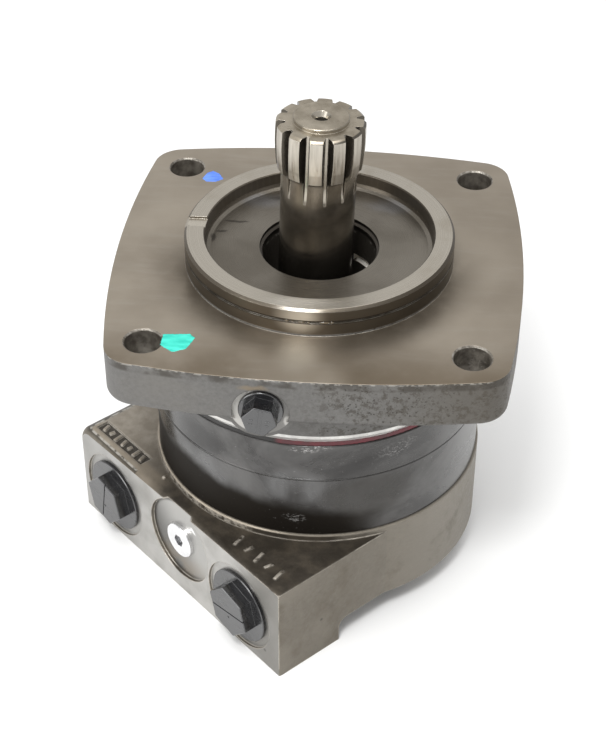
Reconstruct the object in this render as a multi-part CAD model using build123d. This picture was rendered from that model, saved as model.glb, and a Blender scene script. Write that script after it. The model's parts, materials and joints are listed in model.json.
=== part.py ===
"""Bearingless orbit (roller gerotor) hydraulic motor, built piece by piece.

Frame: millimetres, +Z up along the motor axis. The origin is where the pilot's axis meets the
mounting face of the flange. The pieces stack downwards from there.
"""

from build123d import *
import os
from math import atan2, cos, degrees, pi, radians, sin, sqrt

os.makedirs("parts", exist_ok=True)

# ---------------------------------------------------------------- driving dimensions
# Mounting flange
FLANGE_HALF = 77.1            # centre to the middle of a side
FLANGE_SIDE_RADIUS = 380.0    # each side bulges as a large arc
FLANGE_CORNER_RADIUS = 11.5
FLANGE_THICKNESS = 20.2
FLANGE_BOTTOM_FILLET = 3.5
BOLT_CIRCLE = 165.1           # 6.50 in
BOLT_HOLE_RADIUS = 6.75
BOLT_HOLE_CHAMFER = 0.6
PILOT_RADIUS = 50.8           # 4.00 in pilot
PILOT_HEIGHT = 11.45
PILOT_CHAMFER = 0.9
PILOT_GROOVE_DEPTH = 0.5      # shallow turned groove round the pilot
PILOT_GROOVE = (5.6, 6.5)     # its lower and upper edge
RECESS_RADIUS = 43.2
RECESS_FLOOR = 4.65
RECESS_FLOOR_ROUND = 2.0
NOTCH_SIZE = (9.4, 6.6)       # oil notch across the top of the pilot ring
NOTCH_DEPTH = 0.9
NOTCH_Y = 2.0
HUB_RADIUS = 67.5
HUB_BEVEL_TOP = -34.0
HUB_BEVEL_BOTTOM = -37.7
FLANGE_BORE = 21.6
BORE_MOUTH = 22.6
OIL_SLOT_RADIUS = 1.6         # half-round oil slot drilled along the wall of the bore
OIL_SLOT_AZIMUTH = 42.0
OIL_SLOT_HALF = 5.2
OIL_SLOT_Z = -12.0

# Stack of round sections under the flange
BODY_RADIUS = 64.45
SECTION_CHAMFER = 0.35
WEAR_PLATE_TOP = -34.2
WEAR_PLATE_BORE = 21.0
STATOR_TOP = -40.2
STATOR_BOTTOM = -56.6
VALVE_BOTTOM = -84.2
COVER_BOTTOM = -120.0
FOOT_BOTTOM = -130.5
MANIFOLD_THICKNESS = 11.6
MANIFOLD_BORE = 15.0
NEST_RADIUS = 47.0            # bore that holds the manifold and commutator ring
NEST_FIT = 0.02

# Seals between the sections
SEAL_INNER = 61.6             # square ring in the joint under the hub
SEAL_MID = 61.0               # centre line of the two O-rings
SEAL_WIRE = 1.55
SEAL_GROOVE_WIDTH = 2.5
SEAL_GROOVE_DEPTH = 1.6

# Roller gear set
ROLLERS = 7
LOBES = 6
ROLLER_PITCH = 38.0           # roller centres from the motor axis
ROLLER_RADIUS = 7.5
ECCENTRICITY = 3.0            # rotor centre from the motor axis
RUNNING_GAP = 0.04

# Drive link
TEETH = 12                    # 10/20 pitch spline
TOOTH_RADIUS = 16.5
ROOT_RADIUS = 13.0
SPLINE_PHASE = 6.0            # turn of the teeth against the rotor's lobes
SPLINE_BACKLASH = 0.55
SHANK_RADIUS = 13.95
HEAD_TOP = 59.0
HEAD_BOTTOM = 40.0
HEAD_CENTRE = 50.7            # the link pivots here, on the motor axis
HEAD_CROWN_MIDDLE = 52.5      # height of the widest place on the head
HEAD_CROWN_RADIUS = 90.0
INNER_CROWN_RADIUS = 60.0
RUN_OUT_OUTER = 30.8          # where the head's grooves fade out on the shank
CUTTER_RADIUS = 26.0
HEAD_GROOVE = (0.5, 2.8)      # half width of a groove at its floor and 5 mm above it
INNER_GROOVE = (1.3, 2.6)
BOSS_RADIUS = 10.25
BOSS_TOP = 60.6
CENTRE_HOLE_RADIUS = 2.4
CENTRE_HOLE_MOUTH = 3.6       # countersunk for the lathe centre
CENTRE_HOLE_SINK = 1.9
CENTRE_HOLE_DEPTH = 14.0
NOSE_Z = -76.2
NOSE_RADIUS = 8.0
NOSE_NECK = 6.2
NOSE_LENGTH = 11.0

# Commutator
COMMUTATOR_RADIUS = 23.5
COMMUTATOR_CAVITY = 30.0
BUSHING_OUTER = 10.6
FACE_SEAL = (21.2, 18.8)      # outer and inner radius of the groove in its back
FACE_GAP = 0.05

# Assembly bolts, 3/8 in socket-head screws
BOLT_COUNT = 7
BOLT_PITCH_RADIUS = 53.5
BOLT_RADIUS = 4.76
BOLT_HOLE = 5.1
BOLT_TIP = -22.0
BOLT_HEAD_RADIUS = 7.1
BOLT_HEAD_HEIGHT = 6.4
BOLT_SOCKET_HALF = 3.97
COUNTERBORE_RADIUS = 8.2
COUNTERBORE_DEPTH = 8.6
WASHER_RADIUS = 7.7
WASHER_THICKNESS = 1.2
DOWEL_RADIUS = 1.98
DOWEL_REACH = 5.0             # into each of the two sections it lines up

# Port block on the end cover, square to the port direction
PORT_AZIMUTH = 225.0          # the port face looks this way
PORT_FACE = 72.5              # motor axis to port face
BLOCK_LEFT = -67.5            # left and right wall, measured along the port face
BLOCK_RIGHT = 62.6
BLOCK_TOP = -86.9
BLOCK_SIDE_ROUND = 8.0        # cast rounding over the left wall
BLOCK_FRONT_ROUND = 4.0       # cast rounding round the port face, partly machined away
RAW_FACE_LEFT = 0.3           # cast stock that stood proud of the finished port face
RAW_FACE_RIGHT = 2.6
FOOT_INNER = 42.4             # motor axis to the foot's inner edge
COVER_EXTRA = 0.85            # the round cover is this much larger than the sections
REAR_BOSS_RADIUS = 38.0

# Ports: 7/8-14 straight thread
PORT_A_ALONG = -43.9
PORT_B_ALONG = 38.0
PORT_Z = -111.0
PORT_THREAD_RADIUS = 11.2
PORT_THREAD_DEPTH = 19.0
PORT_DRILL_RADIUS = 6.0
PASSAGE_OUTWARD = 43.0        # where the port drillings meet the cross passages
PASSAGE_RADIUS = 5.0
SPOTFACE_RADIUS = 18.6
SPOTFACE_DEPTH = 1.1

# Check valve between the ports, closed by a 1/2-20 plug
CHECK_ALONG = 0.6
CHECK_Z = -104.0
CHECK_POCKET_RADIUS = 18.4
CHECK_POCKET_DEPTH = 1.4
CHECK_THREAD = 6.35
CHECK_NECK = 5.45
CHECK_NECK_LENGTH = 2.1
CHECK_SEAL_OUTER = 7.2
CHECK_DISC_RADIUS = 7.5
CHECK_DISC = 1.7
CHECK_SOCKET_HALF = 2.38
CHECK_BORE = 4.6
CHECK_SEAT = 40.0             # motor axis to the ball's seat
CHECK_BALL = 3.97             # 5/16 in ball
CHECK_SPRING_OUTER = 3.4
CHECK_SPRING_WIRE = 0.4
CHECK_SPRING_TURNS = 5
CHECK_SPRING_POCKET = 6.1     # from the plug's seat to the end of the spring

# Drain port on the front side of the flange, 7/16-20
DRAIN_X = -14.8
DRAIN_Z = -15.0
DRAIN_FACE = -74.5            # Y of the drain spotface
DRAIN_SPOTFACE_RADIUS = 10.3
DRAIN_BOSS_RADIUS = 12.6      # boss that backs the port below the plate
DRAIN_THREAD = 5.55

# Plastic shipping plugs
PLUG_DISC_RADIUS = 15.5
PLUG_DISC = 1.5
PLUG_FLATS = 19.4
PLUG_HEAD = 6.6               # spotface to the end of the hexagon
PLUG_LENGTH = 13.0
PLUG_TURN = -14.0
PLUG_SLIT = (0.55, 0.8)       # width and depth
DRAIN_DISC_RADIUS = 8.1
DRAIN_DISC = 1.3
DRAIN_FLATS = 11.2
DRAIN_HEAD = 7.5
DRAIN_TURN = -13.5

# Foundry marks on top of the block, measured outward from the axis and along the port face
PAD_CENTRE = (65.3, -44.8)    # sunken pad
PAD_SIZE = (5.8, 30.5)
PAD_DEPTH = 0.9
MARKS_START = (65.3, 30.0)    # first of the plain bars near the right corner
NIB = (65.7, -17.0)

# ---------------------------------------------------------------- derived places
LINK_SPAN = HEAD_CENTRE - (STATOR_TOP + STATOR_BOTTOM) / 2
LINK_TILT = degrees(atan2(ECCENTRICITY, LINK_SPAN))
COMMUTATOR_OFFSET = ECCENTRICITY * (HEAD_CENTRE - NOSE_Z) / LINK_SPAN
MANIFOLD_BOTTOM = STATOR_BOTTOM - MANIFOLD_THICKNESS
REST_ORBIT = 180.0            # at rest the rotor centre lies towards -X
FIRST_ROLLER = PORT_AZIMUTH   # one roller faces the port block
PORT_NORMAL = Vector(cos(radians(PORT_AZIMUTH)), sin(radians(PORT_AZIMUTH)), 0)
PORT_ALONG = Vector(-PORT_NORMAL.Y, PORT_NORMAL.X, 0)
DOWEL_ANGLES = (FIRST_ROLLER + 360 / ROLLERS * 2, FIRST_ROLLER + 360 / ROLLERS * 5)


def tube(radius, bottom, top, at=(0, 0)):
    """Upright cylinder between two heights."""
    return Pos(at[0], at[1], (bottom + top) / 2) * Cylinder(radius, top - bottom)


def ring(outer, inner, bottom, top):
    """Upright ring between two heights."""
    return tube(outer, bottom, top) - tube(inner, bottom - 1, top + 1)


def polar(radius, angle):
    """X, Y of a point at a radius and an angle in degrees."""
    return radius * cos(radians(angle)), radius * sin(radians(angle))


def spin_profile(points):
    """Solid of revolution about Z from (radius, height) points."""
    face = make_face(Plane.XZ * Polyline(*points, close=True))
    return revolve(face, Axis.Z, 360)


def rod(start, end, radius):
    """Cylinder from one point to another."""
    start, end = Vector(*start), Vector(*end)
    axis = end - start
    plane = Plane(origin=start, z_dir=axis)
    return plane * Pos(0, 0, axis.length / 2) * Cylinder(radius, axis.length)


def port_point(outward, along, height):
    """Point given by its distance along the port normal, along the port face, and its height."""
    spot = PORT_NORMAL * outward + PORT_ALONG * along
    return spot.X, spot.Y, height


def port_plane(outward, along, height):
    """Plane square to the port face: local Z points out of the port, local X runs along it."""
    return Plane(origin=port_point(outward, along, height), x_dir=PORT_ALONG, z_dir=PORT_NORMAL)


def bolt_angles():
    """Bolts sit midway between the rollers."""
    step = 360 / BOLT_COUNT
    return [FIRST_ROLLER + step * (index + 0.5) for index in range(BOLT_COUNT)]


def under_foot(angle):
    """True for the bolts whose heads are let into the foot of the port block."""
    reach = BOLT_PITCH_RADIUS * cos(radians(angle - PORT_AZIMUTH))
    return reach > FOOT_INNER


def bolt_holes(bottom, top, radius=BOLT_HOLE):
    """Through holes for the assembly bolts between two heights."""
    return [tube(radius, bottom, top, polar(BOLT_PITCH_RADIUS, a)) for a in bolt_angles()]


def save(name, shape):
    """Write one node."""
    shape.label = name
    export_step(shape, f"parts/{name}.step")


# ---------------------------------------------------------------- mounting flange
def flange_outline():
    """Square with gently bulging sides and rounded corners."""
    disc = Circle(FLANGE_SIDE_RADIUS)
    reach = FLANGE_SIDE_RADIUS - FLANGE_HALF
    shape = Pos(reach, 0) * disc
    for x, y in ((-reach, 0), (0, reach), (0, -reach)):
        shape = shape & (Pos(x, y) * disc)
    return fillet(shape.vertices(), FLANGE_CORNER_RADIUS)


def pilot_ring():
    """Pilot boss with its chamfer and shallow groove, before it is recessed."""
    groove_low, groove_high = PILOT_GROOVE
    groove_radius = PILOT_RADIUS - PILOT_GROOVE_DEPTH
    return spin_profile([
        (0, -1), (PILOT_RADIUS, -1), (PILOT_RADIUS, groove_low), (groove_radius, groove_low + 0.2),
        (groove_radius, groove_high - 0.2), (PILOT_RADIUS, groove_high),
        (PILOT_RADIUS, PILOT_HEIGHT - PILOT_CHAMFER), (PILOT_RADIUS - PILOT_CHAMFER, PILOT_HEIGHT),
        (0, PILOT_HEIGHT),
    ])


def recess():
    """Tool for the dished recess inside the pilot ring."""
    soft = RECESS_FLOOR_ROUND
    lip = 0.4
    return spin_profile([
        (0, RECESS_FLOOR), (RECESS_RADIUS - soft, RECESS_FLOOR),
        (RECESS_RADIUS - 0.3 * soft, RECESS_FLOOR + 0.3 * soft), (RECESS_RADIUS, RECESS_FLOOR + soft),
        (RECESS_RADIUS, PILOT_HEIGHT - lip), (RECESS_RADIUS + lip, PILOT_HEIGHT),
        (RECESS_RADIUS + lip, PILOT_HEIGHT + 1), (0, PILOT_HEIGHT + 1),
    ])


def flange():
    """Mounting plate, pilot ring and the hub that carries the stack, in one casting."""
    plate = extrude(flange_outline(), -FLANGE_THICKNESS)
    plate = fillet(plate.faces().sort_by(Axis.Z)[0].edges(), FLANGE_BOTTOM_FILLET)
    hub_top = -FLANGE_THICKNESS + FLANGE_BOTTOM_FILLET
    hub = spin_profile([
        (0, hub_top), (HUB_RADIUS, hub_top), (HUB_RADIUS, HUB_BEVEL_TOP), (BODY_RADIUS, HUB_BEVEL_BOTTOM),
        (SEAL_INNER, HUB_BEVEL_BOTTOM), (SEAL_INNER, STATOR_TOP), (0, STATOR_TOP),
    ])
    drain_boss = rod((DRAIN_X, -BODY_RADIUS + 10, DRAIN_Z), (DRAIN_X, DRAIN_FACE, DRAIN_Z), DRAIN_BOSS_RADIUS)
    casting = plate + hub + drain_boss + pilot_ring()
    casting -= recess()
    mouth_depth = 2.0
    casting -= spin_profile([
        (0, RECESS_FLOOR + 1), (BORE_MOUTH, RECESS_FLOOR + 1), (BORE_MOUTH, RECESS_FLOOR - 0.7 * mouth_depth),
        (FLANGE_BORE, RECESS_FLOOR - mouth_depth), (FLANGE_BORE, WEAR_PLATE_TOP - 1), (0, WEAR_PLATE_TOP - 1),
    ])
    casting -= tube(NEST_RADIUS + 1, STATOR_TOP - 1, WEAR_PLATE_TOP)
    for angle in (45, 135, 225, 315):
        casting -= bolt_hole(angle)
    notch_x = -(PILOT_RADIUS + RECESS_RADIUS) / 2
    casting -= Pos(notch_x, NOTCH_Y, PILOT_HEIGHT) * Box(*NOTCH_SIZE, 2 * NOTCH_DEPTH)
    for hole in bolt_holes(STATOR_TOP - 1, BOLT_TIP + 3, BOLT_RADIUS + RUNNING_GAP):
        casting -= hole
    return casting - oil_passages()


def bolt_hole(angle):
    """One mounting hole with a small chamfer at its mouth."""
    x, y = polar(BOLT_CIRCLE / 2, angle)
    mouth_radius = BOLT_HOLE_RADIUS + BOLT_HOLE_CHAMFER
    below = -FLANGE_THICKNESS - 1
    mouth = spin_profile([
        (0, 1), (mouth_radius, 1), (mouth_radius, 0), (BOLT_HOLE_RADIUS, -BOLT_HOLE_CHAMFER),
        (BOLT_HOLE_RADIUS, below), (0, below),
    ])
    return Pos(x, y, 0) * mouth


def oil_passages():
    """Drain port with its spotface and passage, and the oil hole at the back right of the bore."""
    mouth = (DRAIN_X, -FLANGE_HALF - 8, DRAIN_Z)
    spot = rod(mouth, (DRAIN_X, DRAIN_FACE, DRAIN_Z), DRAIN_SPOTFACE_RADIUS)
    thread = rod(mouth, (DRAIN_X, DRAIN_FACE + 13, DRAIN_Z), DRAIN_THREAD + 0.1)
    passage = rod((DRAIN_X, DRAIN_FACE, DRAIN_Z), (DRAIN_X, -12, DRAIN_Z), 2.5)
    x, y = polar(FLANGE_BORE, OIL_SLOT_AZIMUTH)
    dx, dy = polar(OIL_SLOT_HALF, OIL_SLOT_AZIMUTH + 90)
    slot = rod((x - dx, y - dy, OIL_SLOT_Z), (x + dx, y + dy, OIL_SLOT_Z), OIL_SLOT_RADIUS)
    return spot + thread + passage + slot


# ---------------------------------------------------------------- stack pieces
def wear_plate():
    """Ground plate between the flange and the roller gear set."""
    plate = ring(NEST_RADIUS + 0.95, WEAR_PLATE_BORE, STATOR_TOP, WEAR_PLATE_TOP)
    return chamfer(plate.edges().filter_by(GeomType.CIRCLE), 0.4)


def square_seal(inner, outer, bottom, top):
    """Moulded ring with rounded corners."""
    body = ring(outer, inner, bottom, top)
    return fillet(body.edges().filter_by(GeomType.CIRCLE), 0.45)


def round_seal(joint):
    """O-ring lying in the groove above one joint between two sections."""
    return Pos(0, 0, joint + SEAL_GROOVE_DEPTH / 2) * Torus(SEAL_MID, SEAL_WIRE / 2)


def seal_groove(joint):
    """Tool for the O-ring groove above one joint."""
    half = SEAL_GROOVE_WIDTH / 2
    return ring(SEAL_MID + half, SEAL_MID - half, joint - 1, joint + SEAL_GROOVE_DEPTH)


def section_blank(bottom, top):
    """Round section of the stack with its rims softened."""
    body = tube(BODY_RADIUS, bottom, top)
    return chamfer(body.edges().filter_by(GeomType.CIRCLE), SECTION_CHAMFER)


def roller_angle(index):
    """Angle of one roller about the motor axis."""
    return FIRST_ROLLER + 360 / ROLLERS * index


def stator():
    """Ring with seven roller pockets around the orbiting rotor."""
    body = section_blank(STATOR_BOTTOM, STATOR_TOP)
    low, high = STATOR_BOTTOM - 1, STATOR_TOP + 1
    body -= tube(ROLLER_PITCH, low, high)
    for index in range(ROLLERS):
        body -= tube(ROLLER_RADIUS + RUNNING_GAP, low, high, polar(ROLLER_PITCH, roller_angle(index)))
    for hole in bolt_holes(low, high):
        body -= hole
    return body - seal_groove(STATOR_BOTTOM)


def roller(index):
    """Hardened roller, chamfered at both ends."""
    body = tube(ROLLER_RADIUS, STATOR_BOTTOM + FACE_GAP, STATOR_TOP - FACE_GAP)
    body = chamfer(body.edges().filter_by(GeomType.CIRCLE), 0.5)
    return Pos(*polar(ROLLER_PITCH, roller_angle(index)), 0) * body


def rotor_point(turn):
    """Rotor outline at one angle: the roller path in the rotor's frame, offset inwards."""
    x = ROLLER_PITCH * cos(turn) - ECCENTRICITY * cos((LOBES + 1) * turn)
    y = ROLLER_PITCH * sin(turn) - ECCENTRICITY * sin((LOBES + 1) * turn)
    step_x = -ROLLER_PITCH * sin(turn) + (LOBES + 1) * ECCENTRICITY * sin((LOBES + 1) * turn)
    step_y = ROLLER_PITCH * cos(turn) - (LOBES + 1) * ECCENTRICITY * cos((LOBES + 1) * turn)
    length = sqrt(step_x ** 2 + step_y ** 2)
    offset = ROLLER_RADIUS + RUNNING_GAP
    return x - offset * step_y / length, y + offset * step_x / length


def rotor_turn():
    """Angle of the rotor at rest, fixed by where its centre lies on its orbit."""
    return FIRST_ROLLER - (REST_ORBIT - FIRST_ROLLER) / LOBES


def rotor():
    """Six-lobed rotor with an internal spline for the drive link."""
    points = 24 * LOBES
    outline = Spline(*[rotor_point(2 * pi * i / points) for i in range(points)], periodic=True)
    bottom, top = STATOR_BOTTOM + FACE_GAP, STATOR_TOP - FACE_GAP
    body = Pos(0, 0, bottom) * extrude(make_face(outline), top - bottom)
    body -= tube(ROOT_RADIUS + 0.6, bottom - 1, top + 1)
    slot_width, slot_reach = 4.9, TOOTH_RADIUS + SPLINE_BACKLASH
    for index in range(TEETH):
        slot = Pos(slot_reach / 2, 0, (bottom + top) / 2) * Box(slot_reach, slot_width, top - bottom + 2)
        body -= Rot(0, 0, SPLINE_PHASE + 360 / TEETH * index) * slot
    centre = polar(ECCENTRICITY, REST_ORBIT)
    return Pos(*centre, 0) * Rot(0, 0, rotor_turn()) * body


def manifold():
    """Plate whose slanted passages lead from the commutator to the chambers between rollers."""
    body = ring(NEST_RADIUS - NEST_FIT, MANIFOLD_BORE, MANIFOLD_BOTTOM, STATOR_BOTTOM)
    for angle in bolt_angles():
        inner, outer = polar(23.5, angle), polar(34.0, angle)
        body -= rod((*inner, MANIFOLD_BOTTOM - 1), (*outer, STATOR_BOTTOM + 1), 2.4)
    return body


def valve_housing():
    """Outer ring around the manifold, the commutator ring and the commutator."""
    body = section_blank(VALVE_BOTTOM, STATOR_BOTTOM)
    body -= tube(NEST_RADIUS, VALVE_BOTTOM - 1, STATOR_BOTTOM + 1)
    for hole in bolt_holes(VALVE_BOTTOM - 1, STATOR_BOTTOM + 1):
        body -= hole
    return body - seal_groove(VALVE_BOTTOM)


def commutator_ring():
    """Inner ring that the commutator orbits in."""
    return ring(NEST_RADIUS - NEST_FIT, COMMUTATOR_CAVITY, VALVE_BOTTOM, MANIFOLD_BOTTOM)


def in_orbit(shape):
    """Move a piece made on the motor axis to the commutator's centre at rest."""
    return Pos(*polar(COMMUTATOR_OFFSET, REST_ORBIT), 0) * shape


def commutator():
    """Round valve that orbits with the nose of the drive link."""
    bottom, top = VALVE_BOTTOM + FACE_GAP, MANIFOLD_BOTTOM - FACE_GAP
    body = tube(COMMUTATOR_RADIUS, bottom, top)
    body = chamfer(body.edges().filter_by(GeomType.CIRCLE), 0.4)
    body -= tube(BUSHING_OUTER, bottom - 1, top + 1)
    for index in range(LOBES):
        body -= tube(2.2, bottom - 1, top + 1, polar(14.6, 60 * index))
    return in_orbit(body - ring(*FACE_SEAL, bottom - 1, bottom + 1.8))


def commutator_bushing():
    """Bronze bush around the nose of the drive link."""
    bottom, top = VALVE_BOTTOM + FACE_GAP, MANIFOLD_BOTTOM - FACE_GAP
    return in_orbit(ring(BUSHING_OUTER, NOSE_RADIUS + RUNNING_GAP, bottom, top))


def commutator_seal():
    """Face seal in the back of the commutator."""
    bottom = VALVE_BOTTOM + FACE_GAP
    outer, inner = FACE_SEAL
    return in_orbit(ring(outer - FACE_GAP, inner + FACE_GAP, bottom, bottom + 1.75))


# ---------------------------------------------------------------- drive link
def crowned(bottom, top, middle, crown):
    """Barrel-shaped blank for a crowned spline head."""
    def radius(height):
        return TOOTH_RADIUS - (height - middle) ** 2 / (2 * crown)

    lip = 0.9
    high, low = top - lip, bottom + lip
    arc = ThreePointArc((radius(low), low), (TOOTH_RADIUS, middle), (radius(high), high))
    sides = Polyline(
        (radius(high), high), (radius(high) - 1.1, top), (0, top), (0, bottom),
        (radius(low) - 1.1, bottom), (radius(low), low))
    return revolve(make_face(Plane.XZ * (arc + sides)), Axis.Z, 360)


def spline_groove(half_widths, open_end, run_out, direction):
    """Milled space between two teeth, with the cutter's curved run-out at one end.

    direction is 1 where the groove is open at its top, -1 where it is open at its bottom.
    """
    floor_half, mouth_half = half_widths
    depth = 5.0
    rounding = (0.5, 0.15)
    section = [
        (ROOT_RADIUS, -floor_half), (ROOT_RADIUS + rounding[0], -floor_half - rounding[1]),
        (ROOT_RADIUS + depth, -mouth_half), (ROOT_RADIUS + depth, mouth_half),
        (ROOT_RADIUS + rounding[0], floor_half + rounding[1]), (ROOT_RADIUS, floor_half),
    ]
    rise = SHANK_RADIUS - ROOT_RADIUS
    bend = run_out + direction * sqrt(CUTTER_RADIUS ** 2 - (CUTTER_RADIUS - rise) ** 2)
    base = make_face(Plane.XY.offset(bend) * Polyline(*section, close=True))
    straight = extrude(base, direction * (abs(open_end - bend) + 1))
    pivot = Axis((ROOT_RADIUS + CUTTER_RADIUS, 0, bend), (0, -direction, 0))
    return straight + revolve(base, pivot, 40)


def drive_link():
    """Dog-bone shaft: crowned head outside, crowned spline in the rotor, nose in the commutator."""
    head = crowned(HEAD_BOTTOM, HEAD_TOP, HEAD_CROWN_MIDDLE, HEAD_CROWN_RADIUS)
    inner_top, inner_bottom = STATOR_TOP - 0.4, STATOR_BOTTOM + 0.4
    inner = crowned(inner_bottom, inner_top, (inner_top + inner_bottom) / 2, INNER_CROWN_RADIUS)
    shank = tube(SHANK_RADIUS, inner_bottom, HEAD_BOTTOM)
    boss = tube(BOSS_RADIUS, HEAD_TOP - 1, BOSS_TOP)
    boss = chamfer(boss.edges().sort_by(Axis.Z)[-1], 0.3)
    neck_top = 10.5
    nose = spin_profile([
        (0, inner_bottom + 1), (neck_top, inner_bottom + 1), (neck_top, inner_bottom - 4),
        (NOSE_NECK, inner_bottom - 9), (NOSE_NECK, NOSE_Z + 4), (0, NOSE_Z + 4),
    ])
    ball = Sphere(NOSE_RADIUS) & Box(3 * NOSE_RADIUS, 3 * NOSE_RADIUS, NOSE_LENGTH)
    body = head + inner + shank + boss + nose + Pos(0, 0, NOSE_Z) * ball
    outer_groove = spline_groove(HEAD_GROOVE, HEAD_TOP, RUN_OUT_OUTER, 1)
    inner_groove = spline_groove(INNER_GROOVE, inner_bottom, STATOR_TOP + 8, -1)
    for index in range(TEETH):
        turn = Rot(0, 0, SPLINE_PHASE + 360 / TEETH * (index + 0.5))
        body -= turn * outer_groove
        body -= turn * inner_groove
    hole_bottom = BOSS_TOP - CENTRE_HOLE_DEPTH
    body -= spin_profile([
        (0, BOSS_TOP + 1), (CENTRE_HOLE_MOUTH, BOSS_TOP + 1), (CENTRE_HOLE_MOUTH, BOSS_TOP),
        (CENTRE_HOLE_RADIUS, BOSS_TOP - CENTRE_HOLE_SINK), (CENTRE_HOLE_RADIUS, hole_bottom), (0, hole_bottom - 2),
    ])
    turned = Rot(0, 0, rotor_turn()) * body
    lean = Rot(0, LINK_TILT, 0)
    return Pos(0, 0, HEAD_CENTRE) * lean * Pos(0, 0, -HEAD_CENTRE) * turned


# ---------------------------------------------------------------- end cover
def outward_of(edge):
    """Distance of an edge's middle from the motor axis, square to the port face."""
    middle = edge @ 0.5
    return middle.X * PORT_NORMAL.X + middle.Y * PORT_NORMAL.Y


def along_of(edge):
    """Place of an edge's middle along the port face."""
    middle = edge @ 0.5
    return middle.X * PORT_ALONG.X + middle.Y * PORT_ALONG.Y


def height_of(edge):
    """Height of an edge's middle."""
    return (edge @ 0.5).Z


def raw_block():
    """Port block as cast: rounded over the left wall and round the slightly skewed front."""
    plan = [
        (-12, BLOCK_LEFT + 8), (10, BLOCK_LEFT), (PORT_FACE + RAW_FACE_LEFT, BLOCK_LEFT),
        (PORT_FACE + RAW_FACE_RIGHT, BLOCK_RIGHT), (-6, BLOCK_RIGHT),
    ]
    corners = [port_point(outward, along, FOOT_BOTTOM) for outward, along in plan]
    block = extrude(make_face(Polyline(*corners, close=True)), BLOCK_TOP - FOOT_BOTTOM, dir=(0, 0, 1))
    shoulder = [e for e in block.edges().filter_by(Axis.Z) if abs(outward_of(e) - 10) < 0.1]
    block = fillet(shoulder, 25.0)
    left_top = [e for e in block.edges() if height_of(e) > BLOCK_TOP - 0.1 and along_of(e) < BLOCK_LEFT + 0.5]
    block = fillet(left_top, BLOCK_SIDE_ROUND)
    front = [
        e for e in block.edges()
        if outward_of(e) > PORT_FACE - 3 and height_of(e) > FOOT_BOTTOM + 1 and e.length > 10
    ]
    return fillet(front, BLOCK_FRONT_ROUND)


def port_block():
    """Port block with its port face machined flat, down to its foot."""
    stock = port_plane(PORT_FACE + 20, 0, (BLOCK_TOP + FOOT_BOTTOM) / 2) * Box(200, 100, 40)
    block = raw_block() - stock
    relief = port_plane(FOOT_INNER - 60, 0, COVER_BOTTOM - 20) * Box(200, 40, 120)
    inner_corner = [
        e for e in relief.edges()
        if abs(outward_of(e) - FOOT_INNER) < 0.1 and abs(height_of(e) - COVER_BOTTOM) < 0.1
    ]
    return block - fillet(inner_corner, 4.0)


def end_cover():
    """Port housing: round cover, port block with its foot, and the oil passages inside."""
    cover = tube(BODY_RADIUS + COVER_EXTRA, COVER_BOTTOM, VALVE_BOTTOM)
    cover = chamfer(cover.edges().sort_by(Axis.Z)[-1], SECTION_CHAMFER)
    boss = tube(REAR_BOSS_RADIUS, FOOT_BOTTOM, COVER_BOTTOM + 1)
    boss = fillet(boss.edges().sort_by(Axis.Z)[0], 1.5)
    body = cover + port_block() + boss
    body -= cast_pad()
    body += cast_marks()
    body -= port_cavities()
    body -= valve_cavities()
    for angle in bolt_angles():
        at = polar(BOLT_PITCH_RADIUS, angle)
        body -= tube(BOLT_HOLE, FOOT_BOTTOM - 1, VALVE_BOTTOM + 1, at)
        body -= tube(COUNTERBORE_RADIUS, FOOT_BOTTOM - 1, head_face(angle) + COUNTERBORE_DEPTH, at)
    return body


def head_face(angle):
    """Height of the rear face that one assembly bolt's head is let into."""
    return FOOT_BOTTOM if under_foot(angle) else COVER_BOTTOM


def sum_shapes(shapes):
    """Union of a list of shapes."""
    total = shapes[0]
    for shape in shapes[1:]:
        total += shape
    return total


def port_cavities():
    """Both ports, the check-valve bore between them, and their spotfaces."""
    mouth = PORT_FACE + 20

    def drill(along, height, depth_end, radius):
        return rod(port_point(mouth, along, height), port_point(depth_end, along, height), radius)

    tools = []
    for along in (PORT_A_ALONG, PORT_B_ALONG):
        tools.append(drill(along, PORT_Z, PORT_FACE - SPOTFACE_DEPTH, SPOTFACE_RADIUS))
        tools.append(drill(along, PORT_Z, PORT_FACE - PORT_THREAD_DEPTH, PORT_THREAD_RADIUS))
        tools.append(drill(along, PORT_Z, PASSAGE_OUTWARD - 1, PORT_DRILL_RADIUS))
    seat = PORT_FACE - CHECK_POCKET_DEPTH
    tools.append(drill(CHECK_ALONG, CHECK_Z, seat, CHECK_POCKET_RADIUS))
    tools.append(drill(CHECK_ALONG, CHECK_Z, seat - CHECK_NECK_LENGTH, CHECK_SEAL_OUTER))
    tools.append(drill(CHECK_ALONG, CHECK_Z, seat - 14.6, CHECK_THREAD + 0.1))
    tools.append(drill(CHECK_ALONG, CHECK_Z, CHECK_SEAT, CHECK_BORE))
    tools.append(drill(CHECK_ALONG, CHECK_Z, 5, 2.4))
    return sum_shapes(tools)


def valve_cavities():
    """Central pocket and annular groove under the commutator, and the passages to the ports."""
    pocket = tube(12.0, -114.0, VALVE_BOTTOM + 1)
    groove = ring(29.4, 24.4, -92.0, VALVE_BOTTOM + 1)
    knee_a = port_point(PASSAGE_OUTWARD, PORT_A_ALONG, PORT_Z)
    knee_b = port_point(PASSAGE_OUTWARD, PORT_B_ALONG, PORT_Z)
    to_pocket = rod(knee_a, (0, 0, PORT_Z), PASSAGE_RADIUS)
    riser = port_point(19.0, 19.0, PORT_Z)
    to_groove = rod(knee_b, riser, PASSAGE_RADIUS) + rod(riser, (riser[0], riser[1], -88.0), 2.4)
    return pocket + groove + to_pocket + to_groove


def cast_pad():
    """Tool for the sunken rectangular pad on top of the block, over the left port."""
    outward, along = PAD_CENTRE
    width, length = PAD_SIZE
    return port_plane(outward, along, BLOCK_TOP) * Box(length, 2 * PAD_DEPTH, width)


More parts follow.
